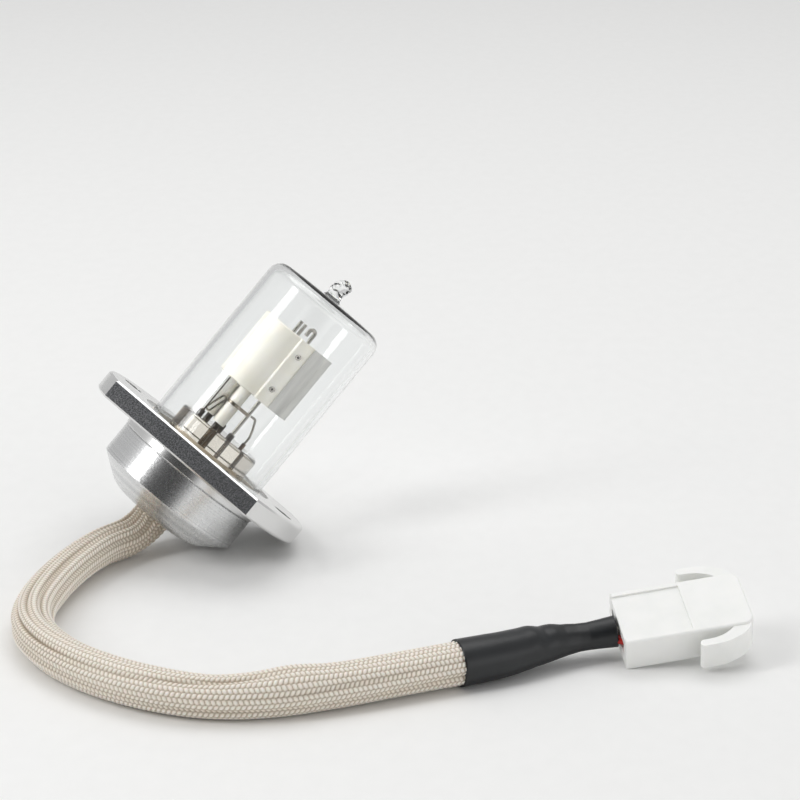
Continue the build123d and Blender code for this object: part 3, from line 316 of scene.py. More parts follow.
def sheared_nickel():
    """Rolled nickel strip, bright inside, with painted shade along its two sheared lips."""
    made, tree = start_material("sheared_nickel_strip")
    where = within(tree, ELECTRODES)
    streak = add(tree, "ShaderNodeMapping", {"Vector": where, "Scale": (1.0, 1.0, 0.12)})
    grain = add(tree, "ShaderNodeTexNoise", {"Vector": streak.outputs[0], "Scale": apart(1.111), "Detail": 4.0})
    shade = add(tree, "ShaderNodeValToRGB", {"Fac": grain.outputs[0]}, (
        (0.3, colour("#EAE8E3")), (0.7, colour("#F7F5F1"))))
    split = add(tree, "ShaderNodeSeparateXYZ", {"Vector": where})
    middle = add(tree, "ShaderNodeMath", {0: split.outputs[0], 1: CHANNEL_MIDDLE}, operation="SUBTRACT")
    away = add(tree, "ShaderNodeMath", {0: middle.outputs[0]}, operation="ABSOLUTE")
    at_side = add(tree, "ShaderNodeMath", {0: away.outputs[0], 1: CHANNEL_SIDE}, operation="GREATER_THAN")
    at_lip = add(tree, "ShaderNodeMath", {0: split.outputs[1], 1: CHANNEL_LIP}, operation="LESS_THAN")
    edge = add(tree, "ShaderNodeMath", {0: at_side.outputs[0], 1: at_lip.outputs[0]}, operation="MULTIPLY")
    # Painted shade: the outer side walls past the lips are drawn near black, #4A443E.
    lip_painted_shade = add(tree, "ShaderNodeMix", {
        0: edge.outputs[0], 6: shade.outputs[0], 7: colour("#4A443E")}, data_type="RGBA")
    gloss = add(tree, "ShaderNodeMapRange", {"Value": grain.outputs[0], "To Min": 0.24, "To Max": 0.32})
    bump = add(tree, "ShaderNodeBump", {"Height": grain.outputs[0], "Strength": 0.08, "Distance": 0.1 * MM})
    body = add(tree, "ShaderNodeBsdfPrincipled", {
        "Base Color": lip_painted_shade.outputs[2], "Metallic": 1.0, "Roughness": gloss.outputs[0], "Normal": bump.outputs[0]})
    return finished(made, body)


def powdery(name, dark, light, rough, grain_size, detail, relief):
    """A scaled or sprayed skin, with grains so many millimetres apart."""
    made, tree = start_material(name)
    grain = add(tree, "ShaderNodeTexNoise", {
        "Vector": within(tree, LAMP), "Scale": apart(grain_size), "Detail": detail})
    shade = add(tree, "ShaderNodeValToRGB", {"Fac": grain.outputs[0]}, ((0.0, colour(dark)), (1.0, colour(light))))
    bump = add(tree, "ShaderNodeBump", {"Height": grain.outputs[0], "Strength": relief, "Distance": 0.1 * MM})
    body = add(tree, "ShaderNodeBsdfPrincipled", {
        "Base Color": shade.outputs[0], "Roughness": rough, "Normal": bump.outputs[0]})
    return finished(made, body)


def dark_bead():
    """Weld beads with scale on them: near black and slightly glossy."""
    return powdery("weld_scale", "#191614", "#4B443D", 0.4, 0.6667, 3.0, 0.5)


def cathode_oxide():
    """Barium oxide sprayed on tungsten: chalk white and quite matt."""
    return powdery("sprayed_oxide", "#CFCAC0", "#F5F2EA", 0.92, 0.3333, 4.0, 0.8)


def turned_aluminium():
    """Turned aluminium, clear finished: rings 0.3 mm apart round the axis, bright in streaks."""
    made, tree = start_material("turned_aluminium")
    where = within(tree, LAMP)
    split = add(tree, "ShaderNodeSeparateXYZ", {"Vector": where})
    flat = add(tree, "ShaderNodeCombineXYZ", {"X": split.outputs[0], "Y": split.outputs[1]})
    radius = add(tree, "ShaderNodeVectorMath", {0: flat.outputs[0]}, operation="LENGTH")
    # The radius changes over a face and the height over a wall, so their difference lays rings on both.
    along = add(tree, "ShaderNodeMath", {0: radius.outputs["Value"], 1: split.outputs[2]}, operation="SUBTRACT")
    lines = add(tree, "ShaderNodeCombineXYZ", {"X": along.outputs[0]})
    marks = add(tree, "ShaderNodeTexNoise", {"Vector": lines.outputs[0], "Scale": apart(0.3125), "Detail": 3.0})
    pits = add(tree, "ShaderNodeTexNoise", {"Vector": where, "Scale": apart(0.4545), "Detail": 2.0})
    height = add(tree, "ShaderNodeMath", {0: marks.outputs[0], 1: pits.outputs[0]}, operation="ADD")
    shade = add(tree, "ShaderNodeValToRGB", {"Fac": marks.outputs[0]}, (
        (0.3, colour("#C9CACB")), (0.7, colour("#E6E6E6"))))
    gloss = add(tree, "ShaderNodeMapRange", {"Value": pits.outputs[0], "To Min": 0.21, "To Max": 0.32})
    bump = add(tree, "ShaderNodeBump", {"Height": height.outputs[0], "Strength": 0.14, "Distance": 0.1 * MM})
    body = add(tree, "ShaderNodeBsdfPrincipled", {
        "Base Color": shade.outputs[0], "Metallic": 1.0, "Roughness": gloss.outputs[0], "Normal": bump.outputs[0]})
    return finished(made, body)


def milled_aluminium():
    """The flange's aluminium, turned on its faces; its two flats are milled, tumbled and grainy, and drawn darker as
    a painted dark reflection.
    """
    made, tree = start_material("milled_aluminium")
    where = within(tree, LAMP)
    split = add(tree, "ShaderNodeSeparateXYZ", {"Vector": where})
    flat = add(tree, "ShaderNodeCombineXYZ", {"X": split.outputs[0], "Y": split.outputs[1]})
    radius = add(tree, "ShaderNodeVectorMath", {0: flat.outputs[0]}, operation="LENGTH")
    side = add(tree, "ShaderNodeMath", {0: split.outputs[1]}, operation="ABSOLUTE")
    on_flat = add(tree, "ShaderNodeMath", {0: side.outputs[0], 1: FLAT_PLACE - 0.03 * MM}, operation="GREATER_THAN")
    lines = add(tree, "ShaderNodeCombineXYZ", {"X": radius.outputs["Value"]})
    marks = add(tree, "ShaderNodeTexNoise", {"Vector": lines.outputs[0], "Scale": apart(0.3846), "Detail": 3.0})
    grit = add(tree, "ShaderNodeTexNoise", {
        "Vector": where, "Scale": apart(0.2326), "Detail": 2.0, "Roughness": 0.6})
    height = add(tree, "ShaderNodeMix", {0: on_flat.outputs[0], 2: marks.outputs[0], 3: grit.outputs[0]})
    turned = add(tree, "ShaderNodeValToRGB", {"Fac": marks.outputs[0]}, (
        (0.0, colour("#CFCFCF")), (1.0, colour("#E9E9E8"))))
    # The flats' dark tone is a painted reflection of the room's dark end; their grit is the real finish.
    milled_dark_reflection = add(tree, "ShaderNodeValToRGB", {"Fac": grit.outputs[0]}, (
        (0.4, colour("#5E5F62")), (0.62, colour("#A3A4A6"))))
    shade = add(tree, "ShaderNodeMix", {
        0: on_flat.outputs[0], 6: turned.outputs[0], 7: milled_dark_reflection.outputs[0]}, data_type="RGBA")
    gloss = add(tree, "ShaderNodeMapRange", {"Value": on_flat.outputs[0], "To Min": 0.24, "To Max": 0.38})
    bump = add(tree, "ShaderNodeBump", {"Height": height.outputs[0], "Strength": 0.3, "Distance": 0.12 * MM})
    body = add(tree, "ShaderNodeBsdfPrincipled", {
        "Base Color": shade.outputs[2], "Metallic": 1.0, "Roughness": gloss.outputs[0], "Normal": bump.outputs[0]})
    return finished(made, body)


def moulded(name, dark, light, rough, grain_size, relief, place, subsurface, ior):
    """A moulded or extruded skin: nearly one colour, with grains so many millimetres apart and wider clouds."""
    made, tree = start_material(name)
    where = within(tree, place)
    cloud = add(tree, "ShaderNodeTexNoise", {"Vector": where, "Scale": apart(grain_size * 8), "Detail": 2.0})
    shade = add(tree, "ShaderNodeValToRGB", {"Fac": cloud.outputs[0]}, ((0.3, colour(dark)), (0.7, colour(light))))
    grain = add(tree, "ShaderNodeTexNoise", {"Vector": where, "Scale": apart(grain_size), "Detail": 3.0})
    gloss = add(tree, "ShaderNodeMapRange", {
        "Value": grain.outputs[0], "To Min": rough - 0.05, "To Max": rough + 0.06})
    bump = add(tree, "ShaderNodeBump", {"Height": grain.outputs[0], "Strength": relief, "Distance": 0.1 * MM})
    body = add(tree, "ShaderNodeBsdfPrincipled", {
        "Base Color": shade.outputs[0], "Roughness": gloss.outputs[0], "IOR": ior, "Normal": bump.outputs[0],
        "Subsurface Weight": subsurface, "Subsurface Radius": (1.0, 1.0, 0.9), "Subsurface Scale": 0.8 * MM})
    return finished(made, body)


def white_nylon():
    """Nylon, injection moulded: milky white with soft edges and a dull sheen."""
    return moulded("moulded_nylon", "#F5F6F3", "#FBFBF8", 0.42, 0.625, 0.12, PLUG, 0.25, 1.53)


def black_shrink():
    """Polyolefin shrink sleeve, recovered with hot air: black, satin, faintly rippled."""
    return moulded("shrunk_polyolefin", "#0E1012", "#1B1E21", 0.36, 1.111, 0.35, PLUG, 0.0, 1.5)


def bush_rubber():
    """Silicone rubber bush: pale and slightly waxy."""
    return moulded("silicone_rubber", "#C9C4B8", "#D8D3C7", 0.5, 0.8333, 0.2, LAMP, 0.1, 1.43)


def red_insulation():
    """Fluoropolymer wire skin, extruded: a clear red, smooth."""
    return moulded("red_extruded_insulation", "#A81A16", "#C22A22", 0.3, 1.111, 0.08, PLUG, 0.05, 1.4)


def pale_insulation():
    """Fluoropolymer wire skin, extruded: off white, smooth."""
    return moulded("white_extruded_insulation", "#E4E1D8", "#F2EFE8", 0.3, 1.111, 0.08, PLUG, 0.05, 1.4)


def grey_insulation():
    """Fluoropolymer wire skin, extruded: light grey, smooth."""
    return moulded("grey_extruded_insulation", "#9A9B9B", "#B0B1B0", 0.3, 1.111, 0.08, PLUG, 0.05, 1.4)


def braid_yarn(dark, light):
    """Braided glass-fibre yarn: cream and silky, with a painted highlight on the crowns and painted brown-grey shade
    between the strands.
    """
    made, tree = start_material("glass_fibre_braid")
    lift = add(tree, "ShaderNodeAttribute", attribute_name="painted_yarn_light")
    where = add(tree, "ShaderNodeUVMap", uv_map="braid").outputs[0]
    # The map is in millimetres, and 7 streaks of filament to a millimetre are as fine as the render can show.
    streak = add(tree, "ShaderNodeMapping", {"Vector": where, "Scale": (1.0, 0.22, 1.0)})
    fibre = add(tree, "ShaderNodeTexNoise", {"Vector": streak.outputs[0], "Scale": 7.0, "Detail": 2.0})
    # Painted light: the ramp runs from painted shade in the gaps to a painted highlight on the crowns.
    shade = add(tree, "ShaderNodeValToRGB", {"Fac": lift.outputs["Fac"]}, (
        (0.0, dark), (1.0, light), (0.4, colour("#EFE6D8"))))
    bump = add(tree, "ShaderNodeBump", {"Height": fibre.outputs[0], "Strength": 0.35, "Distance": 0.15 * MM})
    body = add(tree, "ShaderNodeBsdfPrincipled", {
        "Base Color": shade.outputs[0], "Roughness": 0.33, "IOR": 1.56, "Sheen Weight": 0.25,
        "Sheen Roughness": 0.4, "Subsurface Weight": 0.1, "Subsurface Scale": 0.4 * MM, "Normal": bump.outputs[0]})
    return finished(made, body)


def bench_paint():
    """Matt white studio sweep: plain and pale, its grain 3.6 mm apart, which is 900 to the width."""
    made, tree = start_material("matt_studio_card")
    grain = add(tree, "ShaderNodeTexNoise", {"Scale": 900.0, "Detail": 2.0})
    shade = add(tree, "ShaderNodeValToRGB", {"Fac": grain.outputs[0]}, (
        (0.0, colour("#F3F3F2")), (1.0, colour("#F7F7F6"))))
    body = add(tree, "ShaderNodeBsdfPrincipled", {"Base Color": shade.outputs[0], "Roughness": 0.8})
    return finished(made, body)


# Mesh helpers

def keep(mesh, slot, material, *nodes):
    """Puts a made piece on the body, with its material, and hides the nodes it stands for."""
    obj = bpy.data.objects.new(mesh.name, mesh)
    mesh.materials.append(material)
    bpy.context.scene.collection.objects.link(obj)
    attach(obj, "root")
    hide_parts(*nodes)
    return obj


def grid_mesh(name, points, closed_rows=True, uv=None, painted_yarn_light=None):
    """A smooth mesh from rows of points; each row is a ring if closed_rows."""
    rows, count = points.shape[:2]
    mesh = bpy.data.meshes.new(name)
    wrap = count if closed_rows else count - 1
    i, j = np.meshgrid(np.arange(rows - 1), np.arange(wrap), indexing="ij")
    nxt = (j + 1) % count
    quads = np.stack([i * count + j, i * count + nxt, (i + 1) * count + nxt, (i + 1) * count + j], axis=-1)
    quads = quads.reshape(-1, 4)
    mesh.vertices.add(rows * count)
    mesh.vertices.foreach_set("co", points.reshape(-1).astype(np.float32))
    mesh.loops.add(quads.size)
    mesh.loops.foreach_set("vertex_index", quads.reshape(-1).astype(np.int32))
    mesh.polygons.add(len(quads))
    mesh.polygons.foreach_set("loop_start", np.arange(0, quads.size, 4, dtype=np.int32))
    mesh.polygons.foreach_set("use_smooth", np.ones(len(quads), bool))
    mesh.update(calc_edges=True)
    if uv is not None:
        layer = mesh.uv_layers.new(name="braid")
        u = np.stack([uv[0][i], uv[0][i], uv[0][i + 1], uv[0][i + 1]], axis=-1)
        v = np.stack([uv[1][j], uv[1][j + 1], uv[1][j + 1], uv[1][j]], axis=-1)
        flat = np.stack([u, v], axis=-1).reshape(-1)
        layer.data.foreach_set("uv", flat.astype(np.float32))
    if painted_yarn_light is not None:
        made = mesh.attributes.new("painted_yarn_light", "FLOAT", "POINT")
        made.data.foreach_set("value", painted_yarn_light.reshape(-1).astype(np.float32))
    mesh.validate()
    return mesh


def cap_ends(mesh):
    """Closes a tube's two open ends with flat faces."""
    made = bmesh.new()
    made.from_mesh(mesh)
    bmesh.ops.holes_fill(made, edges=[e for e in made.edges if e.is_boundary], sides=0)
    bmesh.ops.recalc_face_normals(made, faces=made.faces)
    made.to_mesh(mesh)
    made.free()


def set_in(points, place):
    """Points given in a piece's own axes, moved to its place in the frame."""
    return points @ np.array(place.to_3x3()).T + np.array(place.to_translation())


def blown(name, outline, place, segments=144):
    """A blown skin: a closed outline of radius and height in millimetres, turned about the axis of place."""
    radius, height = np.array(outline).T * MM
    angle = round_angles(segments)
    ring = np.stack([
        radius[:, None] * np.cos(angle), radius[:, None] * np.sin(angle),
        np.repeat(height[:, None], segments, axis=1)], axis=-1)
    mesh = grid_mesh(name, set_in(np.concatenate([ring, ring[:1]]), place))
    made = bmesh.new()
    made.from_mesh(mesh)
    bmesh.ops.remove_doubles(made, verts=made.verts, dist=0.002 * MM)
    bmesh.ops.recalc_face_normals(made, faces=made.faces)
    made.to_mesh(mesh)
    made.free()
    return mesh


def arc(centre, radius, start, end, steps):
    """Points of an arc in the outline's plane, angles in degrees."""
    return [
        (centre[0] + radius * math.cos(math.radians(a)), centre[1] + radius * math.sin(math.radians(a)))
        for a in np.linspace(start, end, steps)
    ]


def dome(start, end, height):
    """Points of the envelope's slightly domed top, between two radii."""
    return [(r, height + DOME_RISE * (1 - (r / DOME_RADIUS) ** 2)) for r in np.linspace(start, end, 12)]


def round_angles(count):
    """Even angles all the way round."""
    return np.linspace(0, 2 * math.pi, count, endpoint=False)


def directions_along(line):
    """Unit tangents of a line of points."""
    tangent = np.gradient(line, axis=0)
    return tangent / np.linalg.norm(tangent, axis=1, keepdims=True)


def frames_along(line):
    """Sideways and upward directions at each point of a line that lies near the bench."""
    tangent = directions_along(line)
    side = np.cross(tangent, (0.0, 0.0, 1.0))
    side /= np.linalg.norm(side, axis=1, keepdims=True)
    return side, np.cross(side, tangent)


def rings(line, side, up, across, high):
    """Rings of points round a line, each point so far across and so far up from it."""
    return line[:, None, :] + across[..., None] * side[:, None, :] + high[..., None] * up[:, None, :]


def on_bench(points):
    """The same points, with any that would be under the bench lying on it."""
    points[..., 2] = np.maximum(points[..., 2], 0.0)
    return points


def hump(distance, width):
    """A soft hump, 1 high in its middle."""
    return np.exp(-(distance / width) ** 2)


def soft_step(distance, fade):
    """Rises softly from 0 to 1 as the distance passes zero."""
    return 1 / (1 + np.exp(-distance / fade))


def resample(points, step):
    """The same line with even steps, and how far along each point is."""
    length = np.concatenate([[0], np.cumsum(np.linalg.norm(np.diff(points, axis=0), axis=1))])
    count = max(2, int(round(length[-1] / step)) + 1)
    at = np.linspace(0, length[-1], count)
    return np.stack([np.interp(at, length, points[:, k]) for k in range(3)], axis=1), at


def lead_line():
    """The lead's smooth line, read from a NURBS spline on the route's points."""
    points = [EXIT] + [Vector(place) * MM for place in ROUTE]
    curve = bpy.data.curves.new("lead_route", "CURVE")
    curve.dimensions = "3D"
    curve.resolution_u = 24
    spline = curve.splines.new("NURBS")
    spline.points.add(len(points) - 1)
    for point, place in zip(spline.points, points):
        point.co = (*place, 1.0)
    spline.order_u = 3
    spline.use_endpoint_u = True
    holder = bpy.data.objects.new("lead_route", curve)
    bpy.context.scene.collection.objects.link(holder)
    bpy.context.view_layer.update()
    mesh = bpy.data.meshes.new_from_object(holder.evaluated_get(bpy.context.evaluated_depsgraph_get()))
    line = np.array([v.co for v in mesh.vertices])
    bpy.data.meshes.remove(mesh)
    bpy.data.objects.remove(holder)
    bpy.data.curves.remove(curve)
    return line


def dress(material, *names):
    """Gives carried-over nodes a material of their own."""
    for name in names:
        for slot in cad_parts[name].material_slots:
            slot.link = "OBJECT"
            slot.material = material


def soften(name, width):
    """Rounds the edges of a carried-over node a little."""
    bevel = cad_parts[name].modifiers.new("soft_edges", "BEVEL")
    bevel.width = width
    bevel.segments = 3
    bevel.limit_method = "ANGLE"
    bevel.angle_limit = math.radians(50)
    bevel.harden_normals = True


# Sizes and colours that a user may change

class LeadSettings(bpy.types.PropertyGroup):
    """Sizes and colours of the braided lead"""
    diameter: bpy.props.FloatProperty(
        name="Diameter", description="Outside diameter of the braided lead", default=0.0084, unit="LENGTH")
    bead: bpy.props.FloatProperty(
        name="Bead length", description="Length of one crossing of the braid along the lead", default=0.0009,
        unit="LENGTH")
    columns: bpy.props.IntProperty(
        name="Columns", description="Columns of crossings round the lead", default=24, min=8)
    relief: bpy.props.FloatProperty(
        name="Relief", description="Height of the yarns over the gaps", default=0.00028, unit="LENGTH")
    # The crown colour is a painted highlight and the gap colour is painted shade.
    crown_highlight_colour: bpy.props.FloatVectorProperty(
        name="Crown colour", description="Colour of the yarn where it stands up to the light",
        default=colour("#FFFBF4"), size=4, min=0, max=1, subtype="COLOR")
    gap_shade_colour: bpy.props.FloatVectorProperty(
        name="Gap colour", description="Colour between the yarns", default=colour("#A3917A"), size=4, min=0, max=1,
        subtype="COLOR")


class BulbSettings(bpy.types.PropertyGroup):
    """Sizes and colour of the glass envelope"""
    radius: bpy.props.FloatProperty(
        name="Radius", description="Outside radius of the glass tube", default=0.014, unit="LENGTH")
    wall: bpy.props.FloatProperty(
        name="Wall", description="Thickness of the glass", default=0.0011, unit="LENGTH")
    tint: bpy.props.FloatVectorProperty(
        name="Tint", description="Colour of the glass where light passes it", default=colour("#FCFDFD"), size=4,
        min=0, max=1, subtype="COLOR")


class StudioSettings(bpy.types.PropertyGroup):
    """Strength of the light in the room and above it"""
    room: bpy.props.FloatProperty(
        name="Room light", description="Strength of the even room light", default=0.61)
    key: bpy.props.FloatProperty(
        name="Key light", description="Power of the large light above", default=2.2, unit="POWER")


# Operators, one for each piece or group of like pieces

class LAMP_OT_camera(bpy.types.Operator):
    """Sets the camera where the photograph was taken from"""
    bl_idname = "lamp.camera"
    bl_label = "Camera"

    def execute(self, context):
        data = bpy.data.cameras.new("photo_camera")
        data.sensor_width = SENSOR_WIDTH
        data.lens = PHOTO_FOCUS / PHOTO_WIDTH * SENSOR_WIDTH
        data.clip_start = 0.01
        data.clip_end = 20.0
        camera = bpy.data.objects.new("photo_camera", data)
        camera.location = CAMERA_PLACE
        camera.rotation_euler = Euler((math.radians(90) - CAMERA_DIP, 0, 0))
        context.scene.collection.objects.link(camera)
        context.scene.camera = camera
        return {"FINISHED"}


class LAMP_OT_shrink(bpy.types.Operator):
    """Draws the shrink sleeve from the braid's end to the plug's wires"""
    bl_idname = "lamp.shrink"
    bl_label = "Shrink sleeve"

    @staticmethod
    def middle_line():
        """The sleeve's middle: straight over the braid's end, then bending into the plug's mouth."""
        mouth = PLUG @ Vector((-MOUTH_GAP, 0, PLUG_MIDDLE))
        inward = PLUG.to_3x3() @ Vector((1, 0, 0))
        end = Vector(ROUTE[-1]) * MM
        heading = (end - Vector(ROUTE[-2]) * MM).normalized()
        gap = (mouth - end).length
        line = [end - heading * SLEEVE_LAP * (1 - t) for t in np.linspace(0, 1, 25)]
        for t in np.linspace(0, 1, 90)[1:]:
            ease = t * t * (3 - 2 * t)
            line.append((end + heading * gap * t).lerp(mouth - inward * gap * (1 - t), ease))
        return np.array(line)

    def execute(self, context):
        line, along = resample(self.middle_line(), SLEEVE_STEP)
        side, up = frames_along(line)
        share = (along - SLEEVE_LAP) / (along[-1] - SLEEVE_LAP)
        theta = round_angles(120)
        # At its neck it folds on to the three wires, with seven finer creases round them.
        neck = hump(share - NECK_PLACE, NECK_WIDTH)[:, None]
        fold = 0.035 * neck * np.cos(3 * theta + 0.6)
        fold = fold + 0.016 * neck * np.cos(7 * theta - 1.0 + 2.5 * share[:, None])
        wave = sum(size * hump(share - place, width) for place, width, size in SLEEVE_WAVES)
        top = np.clip(np.sin(theta) * 0.8 + 0.35, 0, 1)
        radius = np.interp(share, *zip(*SLEEVE_RADII_MM))[:, None] * MM * (1 + fold + wave[:, None] * top)
        lift = np.interp(share, *zip(*SLEEVE_LIFT_MM))[:, None] * MM
        points = rings(line + lift * up, side, up, radius * np.cos(theta), radius * np.sin(theta))
        mesh = grid_mesh("shrink_sleeve", on_bench(points))
        cap_ends(mesh)
        keep(mesh, "black_shrink", black_shrink(), "heat_shrink")
        return {"FINISHED"}


class LAMP_OT_lead(bpy.types.Operator):
    """Braids the lead along its route"""
    bl_idname = "lamp.lead"
    bl_label = "Braided lead"

    @staticmethod
    def plaits(settings, along, theta):
        """How high the yarn stands, 0 to 1: columns of slanted beads, each column half a bead on from the next."""
        column = theta / (2 * math.pi) * settings.columns
        index = np.floor(column)
        across = column - index - 0.5
        slant = np.where(index % 2 == 0, 1.0, -1.0) * across * BEAD_SLANT
        phase = along[:, None] / settings.bead + 0.5 * (index % 2) + slant
        # The powers make each bead plump, and it nearly reaches the columns beside its own.
        plump = (0.5 + 0.5 * np.cos(2 * math.pi * phase)) ** 0.7
        return plump * np.cos(math.pi * across * 0.92) ** 0.8

    @staticmethod
    def creases(share, theta):
        """Depth of the folds, as a share of the radius, where the slack braid lies in between the leads inside it."""
        # Each fold wanders and deepens in slow waves of its own, so that no two are alike.
        depth = np.zeros((len(share), len(theta)))
        for place, wander, width, most, start, stop in LEAD_FOLDS:
            centre = place + wander * np.sin(share * 7.0 + place * 2)[:, None]
            away = (theta - centre + math.pi) % (2 * math.pi) - math.pi
            strength = soft_step(share - start, FOLD_FADE) * soft_step(stop - share, FOLD_FADE)
            strength = strength * (0.75 + 0.25 * np.sin(share * 23 + place * 5))
            depth += most * strength[:, None] * hump(away, width)
        # On the bend the plaits bunch into ridges, which fade where the lead runs straight.
        ridge = 0.5 + 0.5 * np.cos(RIDGES * theta + 0.9 * np.sin(share * 9.0)[:, None])
        return depth + RIDGE_DEPTH * ridge ** 3 * soft_step(BEND_END - share, BEND_FADE)[:, None]

    def execute(self, context):
        settings = context.scene.lamp_lead
        line, along = resample(lead_line(), settings.bead / STEPS_PER_BEAD)
        side, up = frames_along(line)
        share = along / along[-1]
        theta = round_angles(settings.columns * POINTS_PER_COLUMN)
        plait = self.plaits(settings, along, theta)
        crease = self.creases(share, theta)
        slack = sum(size * hump(share - place, width) for place, width, size in LEAD_SLACK)
        slack = slack[:, None] * np.clip(np.sin(theta), 0, 1)
        base = settings.diameter / 2 - settings.relief
        radius = base * (1.0 - crease + slack) + settings.relief * plait
        wide = np.interp(share, *zip(*LEAD_WIDTHS))[:, None]
        points = on_bench(rings(line, side, up, radius * np.cos(theta) * wide, radius * np.sin(theta) / wide))
        round_it = np.linspace(0, math.pi * settings.diameter, len(theta) + 1)
        # Painted shade on the first stretch of the lead, by the cap.
        cap_shade = 1.0 - CAP_SHADE_LOSS * hump(share - CAP_SHADE_PLACE, CAP_SHADE_WIDTH)[:, None]
        # Painted light for the colour ramp: a painted highlight on the raised yarn, painted shade in its gaps, in the
        # creases and on the first stretch by the cap.
        light = plait * np.clip(1.0 - crease / CREASE_SHADE_DEPTH, 0.1, 1) * cap_shade
        mesh = grid_mesh("braided_lead", points, uv=(along / MM, round_it / MM), painted_yarn_light=light)
        cap_ends(mesh)
        lead = keep(mesh, "braid", braid_yarn(settings.gap_shade_colour, settings.crown_highlight_colour), "braided_sleeve")
        return {"FINISHED"}


class LAMP_OT_envelope(bpy.types.Operator):
    """Blows the glass envelope with its sealed nub"""
    bl_idname = "lamp.envelope"
    bl_label = "Glass envelope"

    @staticmethod
    def twist_nub(mesh):
        """Makes the nub as the flame leaves it: twisted lobes that grow with height, its tip drawn to one side."""
        back = LAMP.inverted()
        lean = LAMP.to_3x3().inverted() @ NUB_LEAN
        for vertex in mesh.vertices:
            spot = back @ vertex.co
            above = spot.z / MM - NUB_FOOT
            if above <= 0:
                continue
            angle = math.atan2(spot.y, spot.x)
            lobes = sum(
                size * math.sin(count * angle + turn * above + first) for size, count, turn, first in NUB_LOBES)
            swell = 1 + lobes * min(1.0, above)
            vertex.co = LAMP @ (Vector((spot.x * swell, spot.y * swell, spot.z)) + lean * above ** 2)

    def execute(self, context):
        settings = context.scene.lamp_bulb
        outer = settings.radius / MM
        wall = settings.wall / MM
        inner = outer - wall
        shoulder = (outer - SHOULDER, BULB_TOP - SHOULDER)
        outline = [(inner, BULB_FOOT), (outer - BULB_LIP, BULB_FOOT), (outer, BULB_FOOT + BULB_LIP)]
        outline += [(outer, z) for z in np.linspace(-6, 36.5, 30)]
        outline += arc(shoulder, SHOULDER, 0, 90, 14)
        outline += dome(10.5, 2.4, BULB_TOP)
        outline += NUB
        outline += [(0.0, BULB_TOP - wall + DOME_RISE)]
        outline += dome(0.8, 10.8, BULB_TOP - wall)
        outline += arc(shoulder, SHOULDER - wall, 90, 0, 10)
        outline += [(inner, z) for z in np.linspace(36.0, -7.0, 30)]
        mesh = blown("bulb_glass", outline, LAMP)
        self.twist_nub(mesh)
        bulb = keep(mesh, "envelope_glass", fused_silica(settings.tint), "glass_envelope")
        bulb.visible_shadow = False
        return {"FINISHED"}


class LAMP_OT_stem(bpy.types.Operator):
    """Finishes the stem, its cement and the bulb's cement"""
    bl_idname = "lamp.stem"
    bl_label = "Stem and cement"

    def execute(self, context):
        dress(stem_glass(), "glass_stem")
        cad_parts["glass_stem"].visible_shadow = False
        dress(cream_cement(), "stem_cement", "bulb_cement")
        # A hair's breadth of room, so that the cement's skin and the glass round it don't share one surface.
        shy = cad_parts["stem_cement"].modifiers.new("clear_of_glass", "DISPLACE")
        shy.strength = -CEMENT_CLEARANCE
        shy.mid_level = 0.0
        return {"FINISHED"}


class LAMP_OT_electrodes(bpy.types.Operator):
    """Finishes the ceramic blocks and the metal pieces of the electrode assembly"""
    bl_idname = "lamp.electrodes"
    bl_label = "Electrode assembly"

    def execute(self, context):
        dress(ivory_ceramic(), "ceramic_body", "ceramic_spacer", "insulator_tube")
        dress(nickel_sheet(), "front_cover", "cathode_shield")
        dress(sheared_nickel(), "lead_channel")
        dress(nickel_wire(), "cathode_legs", "support_rods", "channel_loop", "hook_wire", "body_eyelets")
        dress(molybdenum(), "aperture_plate", "anode_plate")
        dress(pin_alloy(), "lead_in_pins", "anode_rod")
        dress(dark_bead(), "pin_collars")
        dress(tinted_strap(), "tube_strap")
        return {"FINISHED"}


class LAMP_OT_coil(bpy.types.Operator):
    """Winds the oxide-coated cathode coil"""
    bl_idname = "lamp.coil"
    bl_label = "Cathode coil"

    def execute(self, context):
        angle = np.linspace(0, 2 * math.pi * COIL_TURNS, COIL_TURNS * 20)
        share = angle / angle[-1]
        line = np.stack([
            COIL_OFFSET * math.cos(COIL_BEARING) + COIL_RADIUS * np.cos(angle),
            COIL_OFFSET * math.sin(COIL_BEARING) + COIL_RADIUS * np.sin(angle),
            COIL_MIDDLE + COIL_LENGTH * (share - 0.5)], axis=-1) * MM
        outward = np.stack([np.cos(angle), np.sin(angle), np.zeros_like(angle)], axis=-1)
        up = np.cross(outward, directions_along(line))
        theta = round_angles(12)
        wire = COIL_WIRE_RADIUS * MM
        points = rings(line, outward, up, wire * np.cos(theta), wire * np.sin(theta))
        mesh = grid_mesh("oxide_coil", set_in(points, ELECTRODES))
        cap_ends(mesh)
        keep(mesh, "cathode_oxide", cathode_oxide(), "cathode_coil")
        return {"FINISHED"}


class LAMP_OT_base(bpy.types.Operator):
    """Finishes the flange, the base cap, its bush and the leads inside"""
    bl_idname = "lamp.base"
    bl_label = "Flange and base"

    def execute(self, context):
        dress(milled_aluminium(), "flange")
        dress(turned_aluminium(), "base_cap")
        dress(bush_rubber(), "cable_bush")
        dress(tinned_copper(), "splice_sleeves")
        dress(pale_insulation(), "base_leads")
        return {"FINISHED"}


class LAMP_OT_plug(bpy.types.Operator):
    """Finishes the plug, its contacts and its three wires"""
    bl_idname = "lamp.plug"
    bl_label = "Plug"

    def execute(self, context):
        dress(white_nylon(), "plug_housing")
        soften("plug_housing", PLUG_EDGE)
        dress(tinned_copper(), "pin_terminals")
        dress(red_insulation(), "wire_red")
        dress(pale_insulation(), "wire_white")
        dress(grey_insulation(), "wire_grey")
        return {"FINISHED"}


